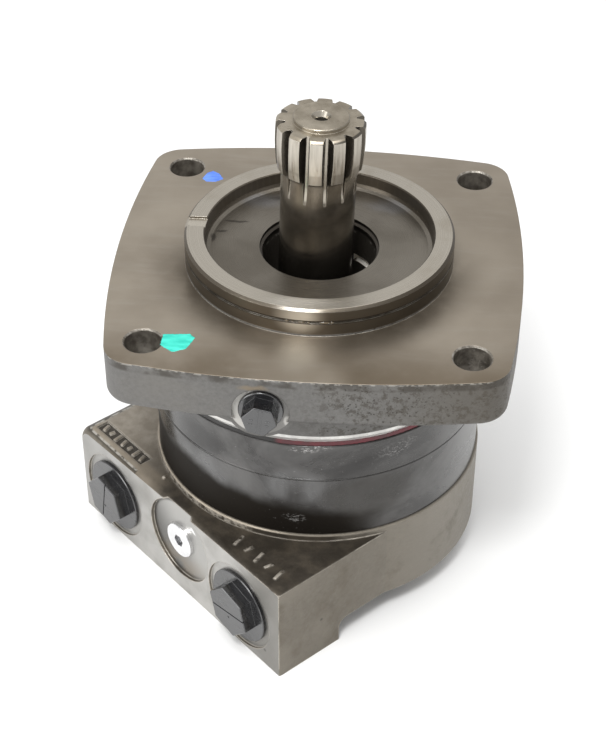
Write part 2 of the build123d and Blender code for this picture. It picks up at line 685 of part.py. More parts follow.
def cast_marks():
    """Plain raised bars and a nib: foundry marks with no meaning, in the pad and near the right corner."""
    outward, along = PAD_CENTRE
    marks = []
    for index in range(7):
        length = (3.4, 2.2, 4.2)[index % 3]
        spot = port_plane(outward, along + (index - 3) * 4.1, BLOCK_TOP - 0.6)
        marks.append(spot * Rot(0, (18, -12, 6)[index % 3], 0) * Box(1.3, 0.9, length))
    outward, along = MARKS_START
    for index in range(5):
        length = (5.6, 3.8)[index % 2]
        spot = port_plane(outward, along + 6.0 * index, BLOCK_TOP)
        marks.append(spot * Rot(0, (14, -10)[index % 2], 0) * Box(1.2, 0.9, length))
    marks.append(Pos(*port_point(*NIB, BLOCK_TOP)) * Sphere(0.9))
    return sum_shapes(marks)


# ---------------------------------------------------------------- fasteners and plugs
def assembly_bolt(angle):
    """Socket-head cap screw from the back of the cover into the flange hub."""
    seat = head_face(angle) + COUNTERBORE_DEPTH - WASHER_THICKNESS
    shank = tube(BOLT_RADIUS, seat - 1, BOLT_TIP)
    shank = chamfer(shank.edges().sort_by(Axis.Z)[-1], 0.8)
    head_end = seat - BOLT_HEAD_HEIGHT
    head = tube(BOLT_HEAD_RADIUS, head_end, seat)
    head = chamfer(head.edges().sort_by(Axis.Z)[0], 0.6)
    hexagon = RegularPolygon(BOLT_SOCKET_HALF, 6, major_radius=False)
    socket = Pos(0, 0, head_end - 1) * extrude(hexagon, 4.6)
    x, y = polar(BOLT_PITCH_RADIUS, angle)
    return Pos(x, y, 0) * (shank + head - socket)


def bolt_washer(angle):
    """Hard washer under one bolt head."""
    top = head_face(angle) + COUNTERBORE_DEPTH
    x, y = polar(BOLT_PITCH_RADIUS, angle)
    return Pos(x, y, 0) * ring(WASHER_RADIUS, BOLT_RADIUS + 0.15, top - WASHER_THICKNESS, top)


def threaded_plug(thread_radius, thread_length, pitch, disc_radius, disc_thickness):
    """Screwed shank with ring-shaped thread crests under a disc; the disc's seat is at height 0."""
    root = thread_radius - pitch * 0.45
    edge = 0.3
    points = [
        (0, disc_thickness), (disc_radius - edge, disc_thickness), (disc_radius, disc_thickness - edge),
        (disc_radius, 0), (root, 0),
    ]
    for turn in range(int((thread_length - pitch) / pitch)):
        start = -pitch * (turn + 0.9)
        points.append((root, start + pitch * 0.1))
        points.append((thread_radius, start - pitch * 0.25))
        points.append((thread_radius, start - pitch * 0.4))
        points.append((root, start - pitch * 0.75))
    points += [(root, -thread_length), (0, -thread_length)]
    return spin_profile(points)


def hex_head(across_flats, bottom, top, turn):
    """Hexagonal head with slightly softened edges."""
    hexagon = RegularPolygon(across_flats / 2, 6, major_radius=False)
    head = Pos(0, 0, bottom) * extrude(hexagon, top - bottom)
    head = chamfer(head.edges().sort_by(Axis.Z)[-6:], 0.25)
    return Rot(0, 0, turn) * head


def port_plug(along, slit_turn):
    """Black plastic shipping plug in one port, with a parting slit across its end."""
    body = threaded_plug(PORT_THREAD_RADIUS - 0.1, PLUG_LENGTH, 1.814, PLUG_DISC_RADIUS, PLUG_DISC)
    body += hex_head(PLUG_FLATS, PLUG_DISC - 0.1, PLUG_HEAD, PLUG_TURN)
    width, depth = PLUG_SLIT
    body -= Pos(0, 0, PLUG_HEAD) * Rot(0, 0, slit_turn) * Box(2 * PLUG_FLATS, width, 2 * depth)
    body += Pos(0.4, -2.4, PLUG_HEAD) * Cylinder(0.5, 0.4)
    body -= tube(7.6, -PLUG_LENGTH - 1, -3.0)
    return port_plane(PORT_FACE - SPOTFACE_DEPTH, along, PORT_Z) * body


def drain_plug():
    """Small black plastic shipping plug in the drain port, with moulded ribs on its end."""
    body = threaded_plug(DRAIN_THREAD, 9.0, 1.27, DRAIN_DISC_RADIUS, DRAIN_DISC)
    body += hex_head(DRAIN_FLATS, DRAIN_DISC - 0.1, DRAIN_HEAD, DRAIN_TURN)
    end = Pos(0, 0, DRAIN_HEAD) * Rot(0, 0, DRAIN_TURN + 7)
    for offset in (-0.65, 0.65):
        body += end * Pos(offset, 0, 0) * Box(0.4, 9.2, 0.5)
    for side in (-3.0, 2.9):
        for step in (-1.2, 0.6):
            body += end * Pos(side, step, 0) * Box(1.5, 0.4, 0.4)
    return drain_plane() * body


def drain_plane():
    """Plane on the drain spotface: local Z points out of the port, local Y up."""
    return Plane(origin=(DRAIN_X, DRAIN_FACE, DRAIN_Z), x_dir=(1, 0, 0), z_dir=(0, -1, 0))


def check_plane(below_seat=0.0):
    """Plane on the seat of the check plug, or further down its bore."""
    return port_plane(PORT_FACE - CHECK_POCKET_DEPTH - below_seat, CHECK_ALONG, CHECK_Z)


def check_plug():
    """Steel plug with a hexagon socket that closes the check-valve bore."""
    body = threaded_plug(CHECK_THREAD, 9.5, 1.27, CHECK_DISC_RADIUS, CHECK_DISC)
    hexagon = RegularPolygon(CHECK_SOCKET_HALF, 6, major_radius=False)
    body -= Pos(0, 0, CHECK_DISC - 4.2) * Rot(0, 0, 12) * extrude(hexagon, 5)
    body -= ring(CHECK_THREAD + 1, CHECK_NECK, -CHECK_NECK_LENGTH, 0)
    body -= tube(CHECK_SPRING_OUTER + 0.3, -10.0, -CHECK_SPRING_POCKET + 0.1)
    return check_plane() * body


def check_plug_seal():
    """O-ring between the check plug and the mouth of its bore."""
    middle = (CHECK_NECK + CHECK_SEAL_OUTER) / 2
    wire = (CHECK_SEAL_OUTER - CHECK_NECK) / 2 - 0.03
    return check_plane(CHECK_NECK_LENGTH / 2) * Torus(middle, wire)


def check_ball():
    """Ball of the check valve, held on its seat by the spring."""
    return Pos(*port_point(CHECK_SEAT + CHECK_BALL + 0.02, CHECK_ALONG, CHECK_Z)) * Sphere(CHECK_BALL)


def check_spring():
    """Coil spring between the ball and the plug."""
    start = CHECK_SEAT + 2 * CHECK_BALL - 0.5
    end = PORT_FACE - CHECK_POCKET_DEPTH - CHECK_SPRING_POCKET
    wire = CHECK_SPRING_WIRE
    length = end - start - 2 * wire
    path = Helix(pitch=length / CHECK_SPRING_TURNS, height=length, radius=CHECK_SPRING_OUTER - wire)
    profile = Plane(origin=path @ 0, z_dir=path % 0) * Circle(wire)
    coil = sweep(profile, path=path, is_frenet=True)
    return port_plane(start + wire, CHECK_ALONG, CHECK_Z) * coil


def dowel(angle):
    """Dowel that lines up the stator ring and the valve housing."""
    at = polar(BOLT_PITCH_RADIUS, angle)
    return tube(DOWEL_RADIUS, STATOR_BOTTOM - DOWEL_REACH, STATOR_BOTTOM + DOWEL_REACH, at)


def drill_dowels(body):
    """Cut the dowel holes into one of the two sections."""
    reach = DOWEL_REACH + 0.2
    for angle in DOWEL_ANGLES:
        at = polar(BOLT_PITCH_RADIUS, angle)
        body -= tube(DOWEL_RADIUS + 0.02, STATOR_BOTTOM - reach, STATOR_BOTTOM + reach, at)
    return body


# ---------------------------------------------------------------- write every node
def main():
    """Build and save every node."""
    save("mounting_flange", flange())
    save("wear_plate", wear_plate())
    save("body_seal_front", square_seal(SEAL_INNER, BODY_RADIUS - 0.25, STATOR_TOP, HUB_BEVEL_BOTTOM))
    save("stator_ring", drill_dowels(stator()))
    for index in range(ROLLERS):
        save(f"roller_{index + 1}", roller(index))
    save("rotor", rotor())
    save("drive_link", drive_link())
    save("body_seal_middle", round_seal(STATOR_BOTTOM))
    save("valve_housing", drill_dowels(valve_housing()))
    save("manifold_plate", manifold())
    save("commutator_ring", commutator_ring())
    save("commutator", commutator())
    save("commutator_bushing", commutator_bushing())
    save("commutator_seal", commutator_seal())
    save("body_seal_rear", round_seal(VALVE_BOTTOM))
    save("end_cover", end_cover())
    save("assembly_bolts", Compound([assembly_bolt(a) for a in bolt_angles()]))
    save("bolt_washers", Compound([bolt_washer(a) for a in bolt_angles()]))
    save("alignment_dowels", Compound([dowel(a) for a in DOWEL_ANGLES]))
    save("port_plug_a", port_plug(PORT_A_ALONG, 80.0))
    save("port_plug_b", port_plug(PORT_B_ALONG, 10.0))
    save("drain_plug", drain_plug())
    save("check_plug", check_plug())
    save("check_plug_seal", check_plug_seal())
    save("check_ball", check_ball())
    save("check_spring", check_spring())


main()
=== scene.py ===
"""Looks of the hydraulic motor: materials, small surface pieces, floor, light and camera.

Lengths are metres in the CAD part's own frame: +Z up the motor axis, z = 0 at the mounting face.
"""

import json
import math
import random

import bmesh
import bpy
from mathutils import Matrix, Vector


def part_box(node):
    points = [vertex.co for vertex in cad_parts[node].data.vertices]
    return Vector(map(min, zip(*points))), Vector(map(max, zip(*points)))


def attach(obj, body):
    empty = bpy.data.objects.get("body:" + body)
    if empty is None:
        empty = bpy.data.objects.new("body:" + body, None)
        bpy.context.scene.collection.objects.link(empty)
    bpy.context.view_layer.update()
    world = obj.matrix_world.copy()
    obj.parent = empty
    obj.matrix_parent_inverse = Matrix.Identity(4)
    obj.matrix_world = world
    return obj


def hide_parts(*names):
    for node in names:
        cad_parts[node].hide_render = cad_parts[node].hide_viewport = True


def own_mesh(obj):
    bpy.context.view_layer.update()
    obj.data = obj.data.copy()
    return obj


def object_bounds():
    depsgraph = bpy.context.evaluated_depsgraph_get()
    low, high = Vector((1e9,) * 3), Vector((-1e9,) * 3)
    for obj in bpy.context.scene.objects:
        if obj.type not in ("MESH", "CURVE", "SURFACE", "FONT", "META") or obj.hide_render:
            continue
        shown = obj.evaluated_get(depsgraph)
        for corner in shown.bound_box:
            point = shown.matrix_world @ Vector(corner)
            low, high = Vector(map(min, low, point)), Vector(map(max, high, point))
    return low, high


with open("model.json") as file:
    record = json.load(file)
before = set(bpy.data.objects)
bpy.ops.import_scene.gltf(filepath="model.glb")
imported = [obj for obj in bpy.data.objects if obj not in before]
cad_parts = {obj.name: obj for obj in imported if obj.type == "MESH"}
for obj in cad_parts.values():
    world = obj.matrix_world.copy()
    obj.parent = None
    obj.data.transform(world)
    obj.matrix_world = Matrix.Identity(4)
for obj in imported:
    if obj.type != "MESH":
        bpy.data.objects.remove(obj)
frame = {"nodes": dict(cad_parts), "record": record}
CAD_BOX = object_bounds()

MM = 0.001
FLOOR_Z = CAD_BOX[0].z
COVER_TOP_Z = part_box("end_cover")[1].z
BLOCK_TOP_Z = COVER_TOP_Z - 2.7 * MM
PORT_NORMAL = Vector((-math.sqrt(0.5), -math.sqrt(0.5), 0))
PORT_ALONG = Vector((math.sqrt(0.5), -math.sqrt(0.5), 0))
PORT_FACE = 72.5 * MM
BODY_RADIUS = 64.45 * MM
STATOR_BOTTOM_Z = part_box("stator_ring")[0].z
LINK_PIVOT_Z = 50.7 * MM
LINK_SLOPE = 3.0 / 99.1          # the drive link leans by the rotor's eccentricity

# Places on the flange
HOLE_PLACE = 58.37 * MM          # each bolt hole is this far from both middle planes
RECESS_RADIUS = 43.1 * MM
PILOT_GROOVE_Z = (5.3 * MM, 6.8 * MM)
HUB_BEVEL_Z = (-38.3 * MM, -32.8 * MM)
DRAIN_PLACE = (-14.8 * MM, 0, -15 * MM)
DRAIN_SPOTFACE_RADIUS = 11.2 * MM

# Places on the port face; the glints are (sideways, height) from the check plug, in millimetres
CHECK_PLACE = PORT_ALONG * 0.6 * MM + Vector((0, 0, -104 * MM))
CHECK_POCKET_RADIUS = 18.4 * MM
POCKET_FLOOR = 71.1
POCKET_GLINTS = ((-9.4, -12.8), (9.1, 10.2))

# Soft spots, as (centre, half sizes, softness) in millimetres; a fourth value is the spot's strength
# Painted reflections: light patches on the recess floor near its back wall.
RECESS_PAINTED_REFLECTIONS = (
    ((-25, 29, 4.7), (13, 7, 3.0), 0.8),
    ((26, 29, 4.7), (13, 7, 3.0), 0.8),
)
# Darker marks on the recess floor, among them a long line behind the drive link.
RECESS_DARK_MARKS = (
    ((-33, 13.5, 4.7), (6.0, 0.9, 3.0), 0.5),
    ((-38, 6.5, 4.7), (3.4, 0.8, 3.0), 0.5),
    ((-6, 31, 4.7), (20, 2.2, 3.0), 0.6),
    ((-41, 2, 4.7), (1.2, 4.0, 3.0), 0.5),
)
WIPED_PAINT = (
    ((-4, -66, -61), (13, 12, 12), 0.45),
    ((-40, -52, -64), (18, 18, 10), 0.7),
)
SCRATCHED_PAINT = (
    ((2, -64, -41.2), (10, 6, 2.2), 0.7, 1.0),
    ((34, -55, -46), (14, 9, 4.5), 0.9, 0.5),
    ((-3, -64, -75.5), (6, 6, 2.2), 0.6, 0.7),
)

# Outlines of the paint dabs and (azimuth, width, height) of the oil drops, in millimetres and degrees
TEAL_OUTLINE = [
    (-51.9, -60.3), (-51.8, -53.9), (-42.2, -53.0), (-40.1, -55.2), (-42.5, -61.8), (-47.1, -64.0),
]
BLUE_OUTLINE = [
    (-51.2, 50.2), (-49.6, 54.8), (-47.4, 56.3), (-44.8, 54.4), (-42.7, 50.6), (-45.5, 48.3), (-49.3, 48.2),
]
OIL_DROPS = (
    (-99, 0.9, 0.5), (-96.5, 0.5, 0.4), (-93, 1.3, 0.6),
    (-90, 0.6, 0.5), (-83.5, 1.9, 0.5), (-80.5, 0.7, 0.4),
)
OIL_DROP_PLACE = (50.45, 5.9)    # radius and height in the pilot's groove
DAB_THICKNESS = 0.12
DAB_STEPS = 120
SEAM_ARC = (178, 291)            # degrees, round the left and the front
SEAM_STEPS = 120
SEAM_DEPTH = 0.32


# ---------------------------------------------------------------- node helpers
class Shader:
    """A node material under construction, with one short method for each kind of node."""

    def __init__(self, name):
        self.material = bpy.data.materials.new(name)
        self.material.use_nodes = True
        self.tree = self.material.node_tree
        self.tree.nodes.clear()
        self.out = self.tree.nodes.new("ShaderNodeOutputMaterial")
        self.bsdf = self.tree.nodes.new("ShaderNodeBsdfPrincipled")
        self.link(self.bsdf.outputs[0], self.out.inputs["Surface"])
        coords = self.tree.nodes.new("ShaderNodeTexCoord")
        self.place = coords.outputs["Object"]
        self.facing = coords.outputs["Normal"]

    def link(self, source, target):
        self.tree.links.new(source, target)

    def put(self, socket, value):
        """Link a socket, or set its default where value is a plain number or colour."""
        if isinstance(value, bpy.types.NodeSocket):
            self.link(value, socket)
        elif isinstance(value, (tuple, list)) and socket.type == "RGBA":
            socket.default_value = (*value, 1.0) if len(value) == 3 else value
        else:
            socket.default_value = value

    def math(self, operation, a, b=0.0, clamp=False):
        node = self.tree.nodes.new("ShaderNodeMath")
        node.operation = operation
        node.use_clamp = clamp
        self.put(node.inputs[0], a)
        self.put(node.inputs[1], b)
        return node.outputs[0]

    def vector(self, operation, a, b=(0, 0, 0)):
        node = self.tree.nodes.new("ShaderNodeVectorMath")
        node.operation = operation
        self.put(node.inputs[0], a)
        self.put(node.inputs[1], b)
        return node.outputs["Value" if operation in ("LENGTH", "DOT_PRODUCT", "DISTANCE") else "Vector"]

    def axis(self, name, source=None):
        """One coordinate of a vector, the place by default."""
        node = self.tree.nodes.new("ShaderNodeSeparateXYZ")
        self.put(node.inputs[0], self.place if source is None else source)
        return node.outputs[name]

    def stretch(self, scale, source=None):
        """The place scaled by a different factor along each axis."""
        return self.vector("MULTIPLY", self.place if source is None else source, scale)

    def noise(self, scale, detail=4.0, rough=0.55, source=None, distortion=0.0):
        node = self.tree.nodes.new("ShaderNodeTexNoise")
        self.put(node.inputs["Vector"], self.place if source is None else source)
        node.inputs["Scale"].default_value = scale
        node.inputs["Detail"].default_value = detail
        node.inputs["Roughness"].default_value = rough
        node.inputs["Distortion"].default_value = distortion
        return node.outputs["Fac"]

    def cells(self, scale, source=None):
        """Distance to the nearest of many scattered points."""
        node = self.tree.nodes.new("ShaderNodeTexVoronoi")
        self.put(node.inputs["Vector"], self.place if source is None else source)
        node.inputs["Scale"].default_value = scale
        return node.outputs["Distance"]

    def ramp(self, value, low, high, start=0.0, end=1.0, smooth=True):
        """start on low's side, end on high's side, and a smooth step between."""
        node = self.tree.nodes.new("ShaderNodeMapRange")
        node.interpolation_type = "SMOOTHSTEP" if smooth else "LINEAR"
        self.put(node.inputs[0], value)
        self.put(node.inputs[1], low)
        self.put(node.inputs[2], high)
        self.put(node.inputs[3], start)
        self.put(node.inputs[4], end)
        return node.outputs[0]

    def below(self, value, full, gone):
        """1 up to full, falling to 0 at gone."""
        return self.ramp(value, full, gone, 1.0, 0.0)

    def patches(self, scale, detail, low, high, start=0.0, end=1.0):
        """Noise pushed apart into soft patches."""
        return self.ramp(self.noise(scale, detail), low, high, start, end)

    def mix(self, amount, a, b):
        """Colour mix."""
        node = self.tree.nodes.new("ShaderNodeMix")
        node.data_type = "RGBA"
        self.put(node.inputs["Factor"], amount)
        self.put(node.inputs[6], a)
        self.put(node.inputs[7], b)
        return node.outputs[2]

    def blend(self, amount, a, b):
        """Number mix."""
        node = self.tree.nodes.new("ShaderNodeMix")
        self.put(node.inputs["Factor"], amount)
        self.put(node.inputs[2], a)
        self.put(node.inputs[3], b)
        return node.outputs[0]

    def stain(self, colour, mask, share, tint):
        """The colour moved towards tint by a share of the mask."""
        return self.mix(self.part(mask, share), colour, tint)

    def spot(self, centre, half, soft, place=None):
        """1 inside an ellipsoid given in millimetres, falling to 0 towards its surface."""
        scale = tuple(1 / (MM * size) for size in half)
        away = self.vector("SUBTRACT", self.place if place is None else place, tuple(MM * c for c in centre))
        return self.below(self.vector("LENGTH", self.stretch(scale, away)), 1 - soft, 1.0)

    def spots(self, shapes, place):
        """Several spots as one mask."""
        return self.most(*[self.spot(centre, half, soft, place) for centre, half, soft in shapes])

    def wander(self, scale, amount):
        """The place pushed about by noise, so that a spot gets a ragged outline."""
        node = self.tree.nodes.new("ShaderNodeTexNoise")
        self.put(node.inputs["Vector"], self.place)
        node.inputs["Scale"].default_value = scale
        node.inputs["Detail"].default_value = 5
        push = self.vector("SUBTRACT", node.outputs["Color"], (0.5, 0.5, 0.5))
        return self.vector("ADD", self.place, self.stretch((2 * amount,) * 3, push))

    def band(self, value, low, high, soft):
        """1 between low and high, falling to 0 over soft on each side."""
        rise = self.ramp(value, low - soft, low)
        fall = self.below(value, high, high + soft)
        return self.math("MULTIPLY", rise, fall)

    def both(self, *masks):
        """Where all the masks agree."""
        total = masks[0]
        for mask in masks[1:]:
            total = self.math("MULTIPLY", total, mask)
        return total

    def invert(self, mask):
        return self.math("SUBTRACT", 1.0, mask)

    def radius(self):
        """Distance from the motor axis."""
        return self.vector("LENGTH", self.stretch((1, 1, 0)))

    def lathe_lines(self, scale):
        """A place that changes only with the radius, for lathe marks."""
        node = self.tree.nodes.new("ShaderNodeCombineXYZ")
        self.put(node.inputs[0], self.math("MULTIPLY", self.radius(), scale))
        return node.outputs[0]

    def most(self, *masks):
        """The strongest of the masks at each place."""
        total = masks[0]
        for mask in masks[1:]:
            total = self.math("MAXIMUM", total, mask)
        return total

    def part(self, mask, share):
        return self.math("MULTIPLY", mask, share)

    def rounded(self, radius=0.4 * MM):
        """Normal that rounds sharp edges."""
        node = self.tree.nodes.new("ShaderNodeBevel")
        node.samples = 6
        node.inputs["Radius"].default_value = radius
        return node.outputs[0]

    def edges(self, radius=0.6 * MM, low=0.02, high=0.25):
        """Mask of sharp edges: where the rounded normal leaves the flat one."""
        geometry = self.tree.nodes.new("ShaderNodeNewGeometry")
        alike = self.vector("DOT_PRODUCT", self.rounded(radius), geometry.outputs["Normal"])
        return self.ramp(self.invert(alike), low, high)

    def bump(self, height, strength, distance, normal=None):
        node = self.tree.nodes.new("ShaderNodeBump")
        node.inputs["Strength"].default_value = strength
        node.inputs["Distance"].default_value = distance
        self.put(node.inputs["Height"], height)
        if normal is not None:
            self.put(node.inputs["Normal"], normal)
        return node.outputs[0]

    def finish(self, colour, rough, metal, normal=None, **uniform):
        """Fill in the surface; uniform sets shader sockets that are the same all over."""
        self.put(self.bsdf.inputs["Base Color"], colour)
        self.put(self.bsdf.inputs["Roughness"], rough)
        self.put(self.bsdf.inputs["Metallic"], metal)
        if normal is not None:
            self.put(self.bsdf.inputs["Normal"], normal)
        for name, value in uniform.items():
            self.bsdf.inputs[name.replace("_", " ")].default_value = value
        return self.material


# ---------------------------------------------------------------- materials (colours are linear)
def flange_plate(s, x, y):
    """Flat machined top: oily at the front, with painted shade round the pilot and a painted highlight in
    the middle.
    """
    colour = s.mix(s.ramp(s.noise(26, 4, 0.5), 0.3, 0.7), (0.300, 0.258, 0.205), (0.385, 0.338, 0.275))
    streaks = s.noise(40, 5, 0.6, s.stretch((1.0, 5.0, 1.0)))
    colour = s.mix(s.ramp(streaks, 0.45, 0.8, 0.0, 0.35), colour, (0.42, 0.385, 0.33))

    def off_middle(shift, near, far, least):
        """Rises from least at the front's middle to 1 at both sides."""
        away = s.math("ABSOLUTE", s.math("ADD", x, shift * MM))
        return s.ramp(away, near * MM, far * MM, least, 1.0)

    # Painted shade: the pilot ring's shadow and dark reflection on the plate, strongest to the front left
    # and right of the ring.
    painted_ring_shade = s.both(
        s.below(s.radius(), 51 * MM, 68 * MM),
        off_middle(5, 5, 22, 0.15),
        s.ramp(y, 18 * MM, -20 * MM),
        s.patches(48, 4, 0.3, 0.6, 0.5, 1.0),
    )
    colour = s.stain(colour, painted_ring_shade, 0.8, (0.105, 0.086, 0.062))
    colour = s.mix(s.ramp(x, 25 * MM, 80 * MM, 0.0, 0.35), colour, (0.215, 0.180, 0.138))
    oily = s.both(
        s.below(y, -74 * MM, -48 * MM),
        s.patches(34, 4, 0.3, 0.6, 0.45, 1.0),
        off_middle(3, 6, 24, 0.3),
    )
    colour = s.stain(colour, oily, 0.75, (0.150, 0.115, 0.075))
    # Painted highlight: a lighter wedge on the plate in front of the pilot ring.
    lighter_patch = s.spot((-3, -62, 0), (11, 17, 3), 0.9, s.wander(60, 2 * MM))
    return s.stain(colour, lighter_patch, 0.6, (0.50, 0.455, 0.385))


def flange_turned(s, x, z, top, in_bore, lathe):
    """Lathe-turned pilot ring and recess: painted shade on the side walls, in the groove and in the bore,
    painted highlights on the front of the ring, painted reflections, scuff marks and a darker line on the
    floor, and a bright notch.
    """
    radius = s.radius()
    ring_top = s.mix(s.ramp(lathe, 0.3, 0.7), (0.36, 0.325, 0.27), (0.50, 0.465, 0.405))
    ring_top = s.mix(s.patches(70, 4, 0.5, 0.75, 0.0, 0.4), ring_top, (0.30, 0.26, 0.20))
    # Painted highlight across the front of the pilot ring's top.
    painted_ring_highlight = s.spot((-2, -46, 11), (17, 6, 3), 0.9, s.wander(90, 1.5 * MM))
    ring_top = s.stain(ring_top, painted_ring_highlight, 0.75, (0.86, 0.82, 0.75))

    # Side walls: a darker copy of the turned iron, painted shade that deepens towards the right, and a
    # painted highlight on the front of the pilot's outer wall.
    wall = s.mix(s.ramp(lathe, 0.3, 0.7), (0.095, 0.080, 0.060), (0.145, 0.125, 0.100))
    wall = s.mix(s.ramp(x, 14 * MM, 42 * MM, 0.0, 0.65), wall, (0.052, 0.042, 0.030))
    wall = s.mix(s.spot((-4, -51, 8), (12, 5, 9), 0.8), wall, (0.46, 0.43, 0.38))

    ragged = s.wander(160, 1.6 * MM)
    floor_colour = s.mix(s.patches(38, 4, 0.35, 0.7), (0.140, 0.124, 0.100), (0.205, 0.185, 0.155))
    # Painted reflections on the recess floor.
    painted_reflection = s.spots(RECESS_PAINTED_REFLECTIONS, ragged)
    floor_colour = s.stain(floor_colour, painted_reflection, 0.5, (0.30, 0.30, 0.31))
    dark_marks = s.spots(RECESS_DARK_MARKS, ragged)
    floor_colour = s.stain(floor_colour, dark_marks, 0.75, (0.035, 0.030, 0.024))

    in_recess = s.below(radius, RECESS_RADIUS - 0.2 * MM, RECESS_RADIUS + 0.2 * MM)
    colour = s.mix(top, wall, s.mix(in_recess, ring_top, floor_colour))
    # Painted shade in the pilot's groove.
    groove = s.both(s.band(z, *PILOT_GROOVE_Z, 0.2 * MM), s.ramp(radius, 49.6 * MM, 49.9 * MM))
    colour = s.mix(groove, colour, (0.050, 0.042, 0.032))
    notch = s.both(s.spot((-46, 2, 11), (4.6, 3.4, 1.6), 0.15), top)
    colour = s.mix(notch, colour, (0.52, 0.48, 0.41))
    # Painted shade inside the bore.
    return s.mix(in_bore, colour, (0.060, 0.052, 0.042))


def flange_cast(s, x, z, grain, pits):
    """Grey as-cast sides: pitted and speckled with oil towards the right, and brown at the far right."""
    colour = s.mix(s.ramp(grain, 0.25, 0.75), (0.105, 0.101, 0.096), (0.155, 0.151, 0.144))
    colour = s.mix(s.patches(26, 4, 0.45, 0.75, 0.0, 0.5), colour, (0.165, 0.155, 0.138))
    colour = s.stain(colour, pits, 0.85, (0.026, 0.022, 0.017))
    specks = s.both(s.ramp(s.noise(360, 6, 0.75), 0.49, 0.60), s.ramp(x, -8 * MM, 16 * MM))
    colour = s.stain(colour, specks, 0.65, (0.040, 0.033, 0.024))
    colour = s.mix(s.ramp(x, 10 * MM, 75 * MM, 0.0, 0.60), colour, (0.068, 0.056, 0.039))
    under_edge = s.both(s.band(z, -2.6 * MM, -0.3 * MM, 1.2 * MM), s.patches(95, 4, 0.42, 0.60))
    colour = s.stain(colour, under_edge, 0.7, (0.035, 0.029, 0.021))
    rusty = s.spot((-17, -77, -4.2), (7, 4, 1.9), 0.6, s.wander(200, 1.5 * MM))
    return s.stain(colour, rusty, 0.7, (0.21, 0.165, 0.11))


def bright_drain_spotface(s, x, y):
    """Mask of the drain port's spotface where it is clean: its left part, and a spike at the right."""
    to_drain = s.vector("SUBTRACT", s.place, DRAIN_PLACE)
    from_drain = s.vector("LENGTH", s.stretch((1, 0, 1), to_drain))
    clean = s.most(
        s.ramp(x, -15 * MM, -19 * MM, 0.25, 1.0),
        s.spot((-5.5, -75, -20), (1.8, 6, 3.2), 0.5),
    )
    return s.both(
        s.below(y, -77.5 * MM, -66 * MM),
        s.below(from_drain, DRAIN_SPOTFACE_RADIUS - 0.2 * MM, DRAIN_SPOTFACE_RADIUS + 0.2 * MM),
        s.ramp(y, -76.0 * MM, -75.4 * MM),
        clean,
    )


def flange_iron():
    """Mounting flange: machined top, turned pilot, cast sides and a bright bevel under the hub."""
    s = Shader("flange_iron")
    x, y, z = s.axis("X"), s.axis("Y"), s.axis("Z")
    radius = s.radius()
    top = s.ramp(s.axis("Z", s.facing), 0.75, 0.95)
    above = s.ramp(z, 0.5 * MM, 1.0 * MM)
    machined = s.most(above, s.both(top, s.ramp(z, -1.2 * MM, -0.6 * MM)))
    in_bore = s.both(s.below(radius, 23.2 * MM, 23.4 * MM), s.below(z, 4.2 * MM, 4.5 * MM))
    oil_slot = s.both(s.ramp(radius, 21.66 * MM, 21.8 * MM), s.spot((16.1, 14.5, -12), (7, 7, 2.2), 0.1))
    hub_bevel = s.band(z, *HUB_BEVEL_Z, 0.25 * MM)
    quarter = s.vector("ABSOLUTE", s.stretch((1, 1, 0)))
    from_hole = s.vector("DISTANCE", quarter, (HOLE_PLACE, HOLE_PLACE, 0))
    hole_wall = s.both(s.below(from_hole, 7.6 * MM, 7.9 * MM), s.invert(top))

    grain = s.noise(620, 5, 0.7)
    lathe = s.noise(1.0, 3, 0.7, s.lathe_lines(4200))
    pit_cells = s.cells(620, source=s.wander(500, 0.8 * MM))
    pitted = s.both(s.ramp(x, -12 * MM, 22 * MM), s.patches(55, 3, 0.42, 0.56))
    pits = s.both(s.below(pit_cells, 0.10, 0.28), pitted)

    turned = flange_turned(s, x, z, top, in_bore, lathe)
    colour = s.mix(above, flange_plate(s, x, y), turned)
    colour = s.mix(machined, flange_cast(s, x, z, grain, pits), colour)
    colour = s.mix(in_bore, colour, turned)
    drilled = s.mix(s.patches(240, 3, 0.3, 0.7), (0.085, 0.074, 0.060), (0.215, 0.195, 0.165))
    colour = s.mix(hole_wall, colour, drilled)
    # Painted highlight: the oil slot in the bore wall is made near white.
    colour = s.mix(oil_slot, colour, (0.88, 0.84, 0.76))
    colour = s.stain(colour, bright_drain_spotface(s, x, y), 0.85, (0.56, 0.545, 0.515))
    bright_iron = s.mix(s.patches(120, 3, 0.35, 0.7), (0.50, 0.49, 0.47), (0.72, 0.71, 0.68))
    colour = s.mix(hub_bevel, colour, bright_iron)

    top_edge = s.both(s.band(z, -0.55 * MM, 0.1 * MM, 0.3 * MM), s.invert(top))
    nicks = s.both(top_edge, s.patches(520, 4, 0.47, 0.60))
    rim = s.both(s.edges(0.45 * MM), s.patches(220, 3, 0.40, 0.62))
    worn = s.most(s.part(nicks, 0.28), s.part(rim, 0.36))
    colour = s.mix(worn, colour, (0.62, 0.59, 0.53))

    mottle = s.noise(26, 4, 0.5)
    rough = s.blend(machined, s.ramp(grain, 0.3, 0.7, 0.46, 0.60), s.ramp(mottle, 0.3, 0.7, 0.33, 0.42))
    rough = s.blend(above, rough, s.ramp(lathe, 0.3, 0.7, 0.24, 0.36))
    rough = s.blend(hub_bevel, rough, 0.3)
    rough = s.blend(hole_wall, rough, 0.34)
    metal = s.blend(s.both(machined, s.invert(oil_slot)), s.blend(oil_slot, 0.50, 0.1), 0.85)

    height = s.math("ADD", s.part(grain, 0.6), s.part(s.noise(150, 4, 0.6), 0.5))
    height = s.math("SUBTRACT", height, s.part(pits, 0.9))
    cast_bump = s.bump(s.blend(machined, height, 0.0), 0.6, 0.42 * MM, s.rounded(0.5 * MM))
    lathe_bump = s.bump(s.both(above, lathe), 0.7, 0.06 * MM, cast_bump)
    fine_bump = s.bump(s.both(machined, s.noise(900, 3, 0.6)), 0.14, 0.05 * MM, lathe_bump)
    return s.finish(colour, rough, metal, fine_bump)


